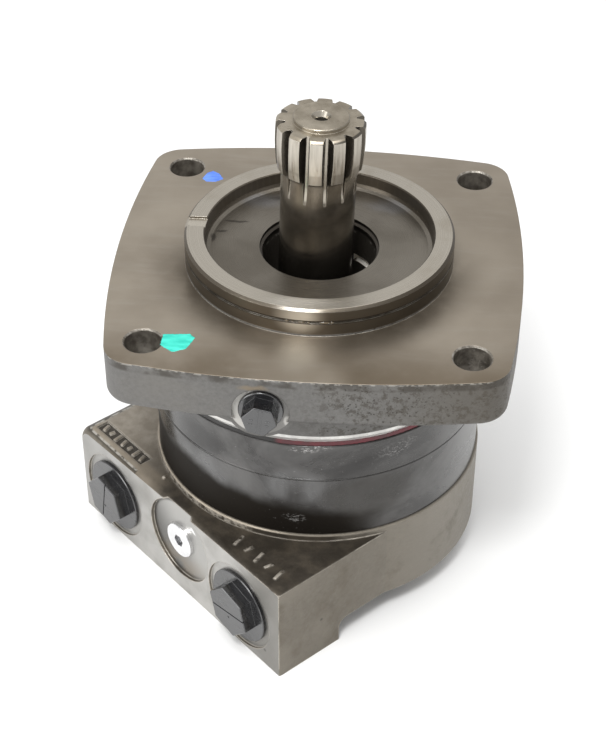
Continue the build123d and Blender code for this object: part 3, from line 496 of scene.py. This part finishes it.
def block_top(s, z, outward, along, lumps):
    """Top of the port block: painted shadow of the flange, lighter at its unshaded left end, with pale marks
    and a dark pad.
    """
    # Painted shadow: the flange shades most of the block top dark, and the unshaded colour is at its left
    # end.
    grease_and_shade = s.mix(s.patches(130, 5, 0.35, 0.7), (0.040, 0.033, 0.025), (0.085, 0.070, 0.052))
    unshaded = s.mix(s.ramp(lumps, 0.35, 0.7), (0.225, 0.195, 0.155), (0.345, 0.310, 0.260))
    colour = s.mix(s.ramp(along, -46 * MM, -8 * MM), unshaded, grease_and_shade)
    front_edge = s.both(
        s.ramp(outward, PORT_FACE - 9 * MM, PORT_FACE - 5 * MM),
        s.ramp(along, -8 * MM, -22 * MM),
    )
    colour = s.stain(colour, front_edge, 0.5, (0.31, 0.26, 0.195))

    in_pad = s.both(
        s.ramp(z, BLOCK_TOP_Z - 0.15 * MM, BLOCK_TOP_Z - 0.3 * MM),
        s.ramp(along, -27 * MM, -28 * MM),
    )
    pad_bars = s.ramp(z, BLOCK_TOP_Z - 0.7 * MM, BLOCK_TOP_Z - 0.5 * MM)
    bars_worn = s.both(pad_bars, s.patches(420, 3, 0.35, 0.6))
    pad_colour = s.mix(bars_worn, (0.030, 0.026, 0.021), (0.42, 0.40, 0.36))
    colour = s.stain(colour, in_pad, 0.9, pad_colour)

    raised = s.both(
        s.ramp(z, BLOCK_TOP_Z + 0.12 * MM, BLOCK_TOP_Z + 0.35 * MM),
        s.ramp(outward, 58 * MM, 59 * MM),
    )
    return s.mix(s.both(raised, s.patches(400, 3, 0.35, 0.6)), colour, (0.45, 0.41, 0.35))


def port_face(s, outward, along):
    """Machined port face, darker at both ends, and the turned pocket of the check plug with painted shade
    and painted glints.
    """
    colour = s.mix(s.patches(60, 5, 0.35, 0.7), (0.43, 0.42, 0.40), (0.30, 0.29, 0.27))
    colour = s.mix(s.ramp(along, -20 * MM, -50 * MM, 0.0, 0.45), colour, (0.26, 0.255, 0.245))
    colour = s.mix(s.ramp(along, 30 * MM, 58 * MM, 0.0, 0.75), colour, (0.150, 0.142, 0.127))

    to_check = s.vector("SUBTRACT", s.place, tuple(CHECK_PLACE))
    from_check = s.vector("LENGTH", s.vector("CROSS_PRODUCT", to_check, tuple(PORT_NORMAL)))
    pocket = s.both(
        s.below(from_check, CHECK_POCKET_RADIUS - 0.1 * MM, CHECK_POCKET_RADIUS + 0.1 * MM),
        s.ramp(outward, PORT_FACE, PORT_FACE - 0.9 * MM),
    )
    # Painted shade and light on the pocket floor: darker to the lower left, lighter to the upper right.
    slant = s.vector("DOT_PRODUCT", to_check, (0.5, -0.5, 0.7))
    floor_colour = s.mix(s.ramp(slant, -13 * MM, 8 * MM), (0.150, 0.146, 0.138), (0.390, 0.383, 0.365))
    shaded_wall = s.both(s.ramp(from_check, 16.6 * MM, 17.8 * MM), s.ramp(along, 4 * MM, -6 * MM))
    floor_colour = s.stain(floor_colour, shaded_wall, 0.8, (0.070, 0.064, 0.055))
    colour = s.mix(pocket, colour, floor_colour)

    low = s.ramp(s.axis("Z", to_check), -2 * MM, -13 * MM)
    oil_stain = s.both(pocket, low, s.patches(90, 4, 0.35, 0.6))
    colour = s.stain(colour, oil_stain, 0.32, (0.30, 0.235, 0.16))
    turned_ring = s.both(pocket, s.band(from_check, 9.3 * MM, 12.6 * MM, 0.5 * MM))
    glints = []
    for sideways, height in POCKET_GLINTS:
        centre = CHECK_PLACE / MM + PORT_NORMAL * POCKET_FLOOR + PORT_ALONG * sideways
        glints.append(s.spot(tuple(centre + Vector((0, 0, height))), (3.4, 3.4, 2.2), 0.6))
    return s.mix(s.both(turned_ring, s.most(*glints)), colour, (0.95, 0.95, 0.94))


def cover_iron():
    """As-cast end cover: machined port face, block top with the flange's painted shadow, and a thin worn
    ridge.
    """
    s = Shader("cover_iron")
    z = s.axis("Z")
    outward = s.vector("DOT_PRODUCT", s.place, tuple(PORT_NORMAL))
    along = s.vector("DOT_PRODUCT", s.place, tuple(PORT_ALONG))
    facing_out = s.vector("DOT_PRODUCT", s.facing, tuple(PORT_NORMAL))
    face = s.both(
        s.ramp(facing_out, 0.86, 0.97),
        s.ramp(outward, PORT_FACE - 3.2 * MM, PORT_FACE - 2.9 * MM),
    )
    below_ridge = s.below(z, COVER_TOP_Z - 0.6 * MM, COVER_TOP_Z - 0.3 * MM)
    on_top = s.both(s.ramp(s.axis("Z", s.facing), 0.6, 0.9), below_ridge)
    rim_side = s.both(
        s.ramp(z, BLOCK_TOP_Z - 0.3 * MM, BLOCK_TOP_Z + 0.2 * MM),
        below_ridge,
        s.ramp(outward, 34 * MM, 40 * MM),
    )
    block_top_area = s.most(on_top, rim_side)
    ridge = s.both(
        s.ramp(z, COVER_TOP_Z - 0.55 * MM, COVER_TOP_Z - 0.35 * MM),
        s.ramp(s.radius(), 64.6 * MM, 64.8 * MM),
    )

    grain = s.noise(560, 5, 0.7)
    lumps = s.noise(120, 5, 0.6)
    cast = s.mix(s.ramp(grain, 0.25, 0.75), (0.118, 0.103, 0.080), (0.180, 0.161, 0.131))
    cast = s.mix(s.ramp(s.noise(24, 4, 0.6), 0.4, 0.7, 0.0, 0.6), cast, (0.222, 0.199, 0.164))
    cast = s.mix(s.ramp(outward, 45 * MM, -15 * MM, 0.0, 0.6), cast, (0.258, 0.238, 0.205))
    oil_blots = s.ramp(s.noise(52, 6, 0.65), 0.50, 0.70)
    cast = s.stain(cast, oil_blots, 0.55, (0.090, 0.072, 0.048))
    # The block top's colour, with the flange's painted shadow.
    cast = s.stain(cast, block_top_area, 0.93, block_top(s, z, outward, along, lumps))
    colour = s.mix(face, cast, port_face(s, outward, along))

    worn_ridge = s.both(
        ridge,
        s.ramp(along, 44 * MM, 30 * MM, 0.15, 1.0),
        s.patches(90, 3, 0.3, 0.6, 0.6, 1.0),
    )
    colour = s.mix(worn_ridge, colour, (0.44, 0.385, 0.31))
    # Edges made lighter: partly wear, partly painted highlight along the cover's sharp corners.
    worn_and_highlit_edges = s.both(
        s.edges(1.1 * MM),
        s.patches(150, 4, 0.30, 0.52),
        s.invert(ridge),
        s.invert(rim_side),
    )
    colour = s.stain(colour, worn_and_highlit_edges, 0.75, (0.66, 0.61, 0.53))
    oil_spots = s.both(s.below(s.cells(95), 0.04, 0.10), s.patches(30, 2, 0.52, 0.62))
    colour = s.stain(colour, oil_spots, 0.7, (0.03, 0.026, 0.022))

    rough = s.blend(face, s.ramp(grain, 0.3, 0.7, 0.44, 0.60), 0.34)
    rough = s.blend(block_top_area, rough, s.ramp(lumps, 0.3, 0.7, 0.34, 0.50))
    metal = s.blend(face, 0.50, 0.75)
    height = s.math("ADD", s.part(grain, 0.6), s.part(lumps, 0.8))
    cast_bump = s.bump(s.blend(face, height, 0.0), 0.6, 0.5 * MM, s.rounded(1.2 * MM))
    return s.finish(colour, rough, metal, cast_bump)


def dark_paint():
    """Thin glossy dark paint over steel: patches rubbed lighter, scratches, dust, and a near-black band at
    its lower edge that is partly oil and partly painted dark reflection.
    """
    s = Shader("dark_paint")
    x, y = s.axis("X"), s.axis("Y")
    smear = s.noise(20, 5, 0.6, s.stretch((1.0, 1.0, 1.8)), 0.6)
    film = s.noise(70, 4, 0.6)
    ragged = s.wander(45, 5 * MM)
    colour = s.mix(s.ramp(smear, 0.35, 0.7), (0.020, 0.0185, 0.0175), (0.092, 0.089, 0.086))
    streaks = s.ramp(s.noise(60, 4, 0.6, s.stretch((1.6, 1.6, 0.35))), 0.35, 0.65, 0.35, 1.0)
    lighter_patch = s.both(s.spots(WIPED_PAINT, ragged), streaks)
    colour = s.stain(colour, lighter_patch, 0.8, (0.120, 0.119, 0.118))
    dry_side = s.both(s.ramp(x, 42 * MM, 62 * MM), s.ramp(smear, 0.35, 0.6, 0.5, 1.0))
    colour = s.stain(colour, dry_side, 0.55, (0.170, 0.168, 0.163))
    oiled = s.spot((24, -60, -66), (24, 22, 13), 0.5, ragged)
    colour = s.stain(colour, oiled, 0.75, (0.020, 0.017, 0.013))

    # Near-black band at the body's lower edge, front and left: partly oil, partly painted dark reflection of
    # the port block's top.
    rise = s.ramp(x, -50 * MM, 10 * MM, 7 * MM, 0.0, smooth=False)
    above_grease = s.math("SUBTRACT", s.axis("Z", ragged), rise)
    grease_and_shade = s.both(
        s.ramp(y, 5 * MM, -25 * MM),
        s.ramp(above_grease, -70 * MM, -76 * MM),
        s.ramp(x, 40 * MM, 12 * MM),
    )
    colour = s.stain(colour, grease_and_shade, 0.97, (0.014, 0.011, 0.008))

    flecks = s.ramp(s.noise(1250, 4, 0.7, s.stretch((0.6, 1.0, 1.2))), 0.50, 0.62)
    scratched = s.most(*[
        s.part(s.spot(centre, half, soft, ragged), share)
        for centre, half, soft, share in SCRATCHED_PAINT
    ])
    dust = s.both(s.patches(750, 2, 0.66, 0.74), s.ramp(film, 0.5, 0.62))
    light = s.most(s.part(dust, 0.25), s.both(flecks, scratched))
    colour = s.stain(colour, light, 0.8, (0.42, 0.41, 0.40))
    rough = s.blend(grease_and_shade, s.ramp(smear, 0.3, 0.75, 0.20, 0.40), 0.62)
    metal = s.blend(grease_and_shade, s.ramp(film, 0.3, 0.7, 0.30, 0.50), 0.85)
    s.put(s.bsdf.inputs["Coat Weight"], s.blend(grease_and_shade, 0.25, 0.0))
    normal = s.bump(film, 0.30, 0.18 * MM, s.rounded(0.3 * MM))
    return s.finish(colour, rough, metal, normal, Coat_Roughness=0.14)


def drive_steel():
    """Bright worn tooth faces and groove floors, dark flanks, and an oiled brown shank with painted shade
    towards its foot.
    """
    s = Shader("drive_steel")
    z = s.axis("Z")
    lean = s.tree.nodes.new("ShaderNodeCombineXYZ")
    s.put(lean.inputs[0], s.part(s.math("SUBTRACT", z, LINK_PIVOT_Z), LINK_SLOPE))
    level = s.stretch((1, 1, 0), s.vector("SUBTRACT", s.place, lean.outputs[0]))
    radius = s.vector("LENGTH", level)
    radial = s.vector("DOT_PRODUCT", s.vector("NORMALIZE", level), s.facing)
    round_face = s.ramp(s.math("ABSOLUTE", radial), 0.62, 0.85)
    head = s.ramp(z, 38.6 * MM, 39.6 * MM)
    with_grooves = s.ramp(z, 27 * MM, 29 * MM)
    tips = s.both(head, round_face, s.ramp(radius, 14.2 * MM, 14.8 * MM))
    floors = s.both(round_face, s.below(radius, 13.45 * MM, 13.75 * MM), with_grooves)
    on_end = s.both(s.ramp(z, 58.2 * MM, 58.5 * MM), s.ramp(s.axis("Z", s.facing), 0.6, 0.8))

    heat = s.noise(60, 5, 0.6)
    draw = s.noise(1.0, 3, 0.6, s.stretch((700, 700, 60)))
    shank = s.mix(s.ramp(heat, 0.3, 0.7), (0.120, 0.104, 0.082), (0.240, 0.212, 0.174))
    # Painted shade on the shank, deepening towards its foot where it goes down into the recess and the bore.
    shank = s.stain(shank, s.ramp(z, 22 * MM, 2 * MM), 0.75, (0.030, 0.026, 0.021))
    flank = s.mix(s.ramp(heat, 0.3, 0.7), (0.060, 0.052, 0.042), (0.110, 0.098, 0.080))
    bright = s.mix(s.ramp(draw, 0.3, 0.7), (0.34, 0.31, 0.262), (0.52, 0.485, 0.425))
    # A darker band at the lower end of the tooth tips.
    lower_tip_band = s.both(s.ramp(z, 45.6 * MM, 44.6 * MM), s.patches(75, 2, 0.42, 0.5))
    bright = s.stain(bright, lower_tip_band, 0.6, (0.24, 0.215, 0.18))
    end_face = s.mix(s.patches(110, 5, 0.3, 0.7), (0.25, 0.215, 0.162), (0.45, 0.40, 0.32))

    colour = s.mix(head, shank, flank)
    colour = s.mix(tips, colour, bright)
    colour = s.stain(colour, floors, 0.8, (0.44, 0.405, 0.345))
    colour = s.mix(on_end, colour, end_face)
    rim = s.both(s.edges(0.4 * MM), s.patches(300, 3, 0.35, 0.55), with_grooves)
    colour = s.stain(colour, rim, 0.55, (0.60, 0.56, 0.50))
    oiled = s.ramp(heat, 0.3, 0.7, 0.17, 0.26)
    rough = s.blend(s.most(tips, on_end), oiled, s.ramp(draw, 0.3, 0.7, 0.26, 0.38))
    normal = s.bump(draw, 0.10, 0.05 * MM, s.rounded(0.3 * MM))
    return s.finish(colour, rough, 0.9, normal)


def black_plastic():
    """Moulded shipping plugs with a strong sheen and a few scuffs."""
    s = Shader("black_plastic")
    scuff = s.noise(130, 5, 0.65, s.stretch((1.0, 1.0, 4.0)))
    colour = s.mix(s.ramp(scuff, 0.6, 0.85, 0.0, 0.4), (0.004, 0.004, 0.005), (0.05, 0.05, 0.05))
    rough = s.ramp(scuff, 0.35, 0.7, 0.18, 0.30)
    normal = s.bump(s.noise(1400, 3, 0.6), 0.12, 0.05 * MM, s.rounded(0.25 * MM))
    return s.finish(colour, rough, 0.0, normal, IOR=1.95)


def bright_zinc():
    """Zinc plate with a light haze and a few stains."""
    s = Shader("bright_zinc")
    haze = s.noise(240, 5, 0.6)
    colour = s.mix(s.ramp(haze, 0.3, 0.7), (0.78, 0.78, 0.79), (0.90, 0.90, 0.91))
    colour = s.mix(s.patches(90, 4, 0.60, 0.78, 0.0, 0.3), colour, (0.38, 0.36, 0.32))
    normal = s.bump(haze, 0.1, 0.05 * MM, s.rounded(0.3 * MM))
    return s.finish(colour, s.ramp(haze, 0.3, 0.7, 0.18, 0.30), 1.0, normal)


def red_seal():
    """Dark red rubber that shows right of the drain plug and is under black oil to its left."""
    s = Shader("red_seal")
    grease_and_shade = s.noise(160, 4, 0.6)
    red = s.mix(s.ramp(grease_and_shade, 0.35, 0.7), (0.060, 0.006, 0.010), (0.130, 0.012, 0.020))
    oiled = s.both(s.ramp(s.axis("X"), -9 * MM, -12 * MM), s.ramp(s.axis("Y"), 0.0, -8 * MM))
    colour = s.mix(oiled, red, (0.008, 0.007, 0.006))
    normal = s.bump(s.noise(900), 0.2, 0.05 * MM)
    return s.finish(colour, s.ramp(grease_and_shade, 0.3, 0.7, 0.34, 0.55), 0.0, normal)


def seal_rubber(name, dark, light):
    """Moulded rubber ring with a light film of oil."""
    s = Shader(name)
    grease_and_shade = s.noise(160, 4, 0.6)
    colour = s.mix(s.ramp(grease_and_shade, 0.35, 0.7), dark, light)
    normal = s.bump(s.noise(900), 0.2, 0.05 * MM)
    return s.finish(colour, s.ramp(grease_and_shade, 0.3, 0.7, 0.30, 0.55), 0.0, normal)


def ground_metal(name, dark, light, rough=(0.18, 0.32)):
    """Ground or drawn metal for the inner pieces."""
    s = Shader(name)
    lines = s.noise(1.0, 3, 0.7, s.stretch((300, 300, 2400)))
    cloud = s.noise(70, 4)
    average = s.math("MULTIPLY", s.math("ADD", lines, cloud), 0.5)
    colour = s.mix(s.ramp(average, 0.35, 0.65), dark, light)
    normal = s.bump(lines, 0.12, 0.04 * MM, s.rounded(0.25 * MM))
    return s.finish(colour, s.ramp(cloud, 0.3, 0.7, *rough), 1.0, normal)


def brushed_paint(name, dark, light):
    """Thick inspection paint dabbed on with a brush."""
    s = Shader(name)
    brush = s.noise(150, 4, 0.6, s.stretch((1.0, 3.5, 1.0)))
    colour = s.mix(s.ramp(brush, 0.3, 0.7), dark, light)
    return s.finish(colour, s.ramp(brush, 0.3, 0.7, 0.38, 0.6), 0.0, s.bump(brush, 0.5, 0.12 * MM))


def clear_oil():
    """Drops of brown oil."""
    s = Shader("clear_oil")
    cloud = s.noise(300, 2)
    colour = s.mix(cloud, (0.05, 0.035, 0.018), (0.12, 0.09, 0.05))
    return s.finish(colour, s.ramp(cloud, 0.3, 0.7, 0.04, 0.10), 0.0, None, Coat_Weight=1.0, IOR=1.5)


# ---------------------------------------------------------------- small pieces
def new_mesh(name, bm, material, smooth=True):
    """Turn a bmesh into a linked object."""
    mesh = bpy.data.meshes.new(name)
    bmesh.ops.recalc_face_normals(bm, faces=bm.faces)
    bm.to_mesh(mesh)
    bm.free()
    if smooth:
        for polygon in mesh.polygons:
            polygon.use_smooth = True
    obj = bpy.data.objects.new(name, mesh)
    obj.data.materials.append(material)
    bpy.context.scene.collection.objects.link(obj)
    return obj


def resample(outline, count):
    """Points spaced evenly round a closed outline."""
    closed = outline + outline[:1]
    lengths = [math.dist(a, b) for a, b in zip(closed, closed[1:])]
    step = sum(lengths) / count
    points = []
    for index in range(count):
        travel = index * step
        for (start, end), length in zip(zip(closed, closed[1:]), lengths):
            if travel <= length:
                share = travel / length
                points.append([a + (b - a) * share for a, b in zip(start, end)])
                break
            travel -= length
    return points


def paint_dab(name, outline, material, seed):
    """Brush dab on the flange: a thin domed patch with a slightly ragged outline, in millimetres."""
    rng = random.Random(seed)
    middle_x = sum(x for x, _ in outline) / len(outline)
    middle_y = sum(y for _, y in outline) / len(outline)
    rim = resample(outline, DAB_STEPS)
    ragged = [1 + rng.uniform(-0.03, 0.03) for _ in rim]
    bm = bmesh.new()

    def ring(share, height):
        points = [
            (middle_x + (x - middle_x) * share * r, middle_y + (y - middle_y) * share * r, height)
            for (x, y), r in zip(rim, ragged)
        ]
        return [bm.verts.new(Vector(point) * MM) for point in points]

    shares = (0.25, 0.5, 0.7, 0.85, 0.95, 1.0)
    rows = [ring(share, DAB_THICKNESS * (1 - share ** 6) + 0.01) for share in shares]
    rows.append(ring(1.0, -0.01))
    middle = bm.verts.new(Vector((middle_x, middle_y, DAB_THICKNESS + 0.01)) * MM)
    for step in range(DAB_STEPS):
        after = (step + 1) % DAB_STEPS
        bm.faces.new((middle, rows[0][step], rows[0][after]))
        for inner, outer in zip(rows, rows[1:]):
            bm.faces.new((inner[step], outer[step], outer[after], inner[after]))
    bm.faces.new(rows[-1])
    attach(new_mesh(name, bm, material), "housing")


def oil_drops(material):
    """Drops hanging in the pilot's groove at the front."""
    bm = bmesh.new()
    radius, level = OIL_DROP_PLACE
    for azimuth, width, height in OIL_DROPS:
        angle = math.radians(azimuth)
        at = Matrix.Translation(Vector((radius * math.cos(angle), radius * math.sin(angle), level)) * MM)
        turn = Matrix.Rotation(angle, 4, "Z")
        shape = Matrix.Diagonal((0.45 * MM, width * MM, height * MM, 1))
        bmesh.ops.create_uvsphere(bm, u_segments=20, v_segments=12, radius=1.0, matrix=at @ turn @ shape)
    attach(new_mesh("oil_drops", bm, material), "housing")


def seam_paint(material):
    """Paint that fills the joint between the two dark sections round the left of the body."""
    start, end = (math.radians(angle) for angle in SEAM_ARC)
    profile = ((-SEAM_DEPTH, -0.50), (0.015, -0.50), (0.03, 0.0), (0.015, 0.50), (-SEAM_DEPTH, 0.50))
    bm = bmesh.new()
    rows = []
    for step in range(SEAM_STEPS + 1):
        share = step / SEAM_STEPS
        angle = start + (end - start) * share
        taper = min(1.0, 12 * share, 12 * (1 - share))
        row = []
        for depth, height in profile:
            radius = BODY_RADIUS + (-SEAM_DEPTH + (depth + SEAM_DEPTH) * taper) * MM
            place = (radius * math.cos(angle), radius * math.sin(angle), STATOR_BOTTOM_Z + height * MM)
            row.append(bm.verts.new(place))
        rows.append(row)
    for near, far in zip(rows, rows[1:]):
        for index in range(len(profile)):
            after = (index + 1) % len(profile)
            bm.faces.new((near[index], near[after], far[after], far[index]))
    bm.faces.new(rows[0])
    bm.faces.new(rows[-1])
    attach(new_mesh("seam_paint", bm, material), "housing")


def shortening_spring():
    """The check valve's coil as a copy of the CAD spring, which is hidden, riding on the housing."""
    cad = frame["nodes"]["check_spring"]
    bm = bmesh.new()
    bm.from_mesh(cad.data)
    coil = new_mesh("check_spring_coil", bm, cad.data.materials[0])
    coil.matrix_world = cad.matrix_world
    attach(coil, "housing")
    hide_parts("check_spring")
    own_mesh(coil)


# ---------------------------------------------------------------- dress the CAD nodes
def dress(paint):
    """Give every CAD node its material."""
    looks = {
        "mounting_flange": flange_iron(),
        "end_cover": cover_iron(),
        "drive_link": drive_steel(),
    }
    hard = ground_metal("hardened_steel", (0.42, 0.42, 0.42), (0.62, 0.61, 0.60))
    by_slot = {
        "black_paint": paint,
        "black_plastic": black_plastic(),
        "zinc_steel": bright_zinc(),
        "red_rubber": red_seal(),
        "black_rubber": seal_rubber("black_seal", (0.01, 0.01, 0.01), (0.03, 0.03, 0.03)),
        "hardened_steel": hard,
        "spring_steel": hard,
        "ground_steel": ground_metal("ground_steel", (0.36, 0.35, 0.34), (0.54, 0.53, 0.51)),
        "bronze": ground_metal("bearing_bronze", (0.42, 0.27, 0.11), (0.62, 0.43, 0.20), (0.28, 0.42)),
        "black_oxide": ground_metal("black_oxide", (0.02, 0.02, 0.022), (0.05, 0.05, 0.054), (0.30, 0.45)),
    }
    slots = {part["node"]: part["material_slot"] for part in frame["record"]["subparts"]}
    for name, node in frame["nodes"].items():
        node.data.materials.clear()
        node.data.materials.append(looks.get(name) or by_slot[slots[name]])


# ---------------------------------------------------------------- stage
CAMERA_AZIMUTH = math.radians(4.694)
CAMERA_ELEVATION = math.radians(38.402)
CAMERA_ROLL = math.radians(0.133)
CAMERA_DISTANCE = 0.6031
CAMERA_TARGET = Vector((-0.00025, -0.06904, 0.0))
CAMERA_LENS = 84.74
LIGHT_TARGET = Vector((0, 0, -0.03))
FLOOR_REACH = 6.0


def make_camera():
    """Camera at the calibrated viewing angle."""
    back = Vector((
        math.sin(CAMERA_AZIMUTH) * math.cos(CAMERA_ELEVATION),
        -math.cos(CAMERA_AZIMUTH) * math.cos(CAMERA_ELEVATION),
        math.sin(CAMERA_ELEVATION),
    ))
    right = Vector((0, 0, 1)).cross(back).normalized()
    up = back.cross(right)
    turn = Matrix((right, up, back)).transposed() @ Matrix.Rotation(CAMERA_ROLL, 3, "Z")
    camera = bpy.data.objects.new("camera", bpy.data.cameras.new("camera"))
    camera.data.lens = CAMERA_LENS
    camera.data.sensor_width = 36.0
    camera.data.clip_start = 0.01
    camera.data.clip_end = 50.0
    camera.matrix_world = Matrix.Translation(CAMERA_TARGET + back * CAMERA_DISTANCE) @ turn.to_4x4()
    bpy.context.scene.collection.objects.link(camera)
    bpy.context.scene.camera = camera


def area_light(name, place, size, power):
    """White rectangular light that looks at the middle of the motor."""
    light = bpy.data.lights.new(name, "AREA")
    light.shape = "RECTANGLE"
    light.size, light.size_y = size
    light.energy = power
    obj = bpy.data.objects.new(name, light)
    obj.location = place
    obj.rotation_euler = (LIGHT_TARGET - Vector(place)).to_track_quat("-Z", "Y").to_euler()
    bpy.context.scene.collection.objects.link(obj)


def make_stage():
    """White floor, white surround and large soft lights."""
    bm = bmesh.new()
    square = ((-1, -1), (1, -1), (1, 1), (-1, 1))
    bm.faces.new([bm.verts.new((x * FLOOR_REACH, y * FLOOR_REACH, FLOOR_Z)) for x, y in square])
    s = Shader("floor")
    s.finish(s.mix(s.noise(3, 2), (0.86, 0.86, 0.855), (0.90, 0.90, 0.895)), 0.6, 0.0)
    new_mesh("floor", bm, s.material, smooth=False)

    world = bpy.data.worlds.new("studio")
    world.use_nodes = True
    background = world.node_tree.nodes["Background"]
    background.inputs["Color"].default_value = (1, 1, 1, 1)
    background.inputs["Strength"].default_value = 0.75
    bpy.context.scene.world = world
    area_light("overhead", (0.05, -0.15, 1.0), (0.9, 0.7), 6.0)
    area_light("flash", (-0.11, -0.56, 0.82), (0.20, 0.20), 5.0)
    area_light("front_left", (-0.75, -0.65, 0.35), (0.6, 0.6), 4.0)
    bpy.context.scene.view_settings.view_transform = "Standard"


# ---------------------------------------------------------------- build the scene
make_camera()
make_stage()
painted_steel = dark_paint()
dress(painted_steel)
blue = brushed_paint("blue_paint", (0.05, 0.14, 0.55), (0.12, 0.25, 0.75))
teal = brushed_paint("teal_paint", (0.01, 0.42, 0.33), (0.05, 0.60, 0.48))
paint_dab("paint_dab_blue", BLUE_OUTLINE, blue, seed=3)
paint_dab("paint_dab_teal", TEAL_OUTLINE, teal, seed=8)
oil_drops(clear_oil())
shortening_spring()
seam_paint(painted_steel)
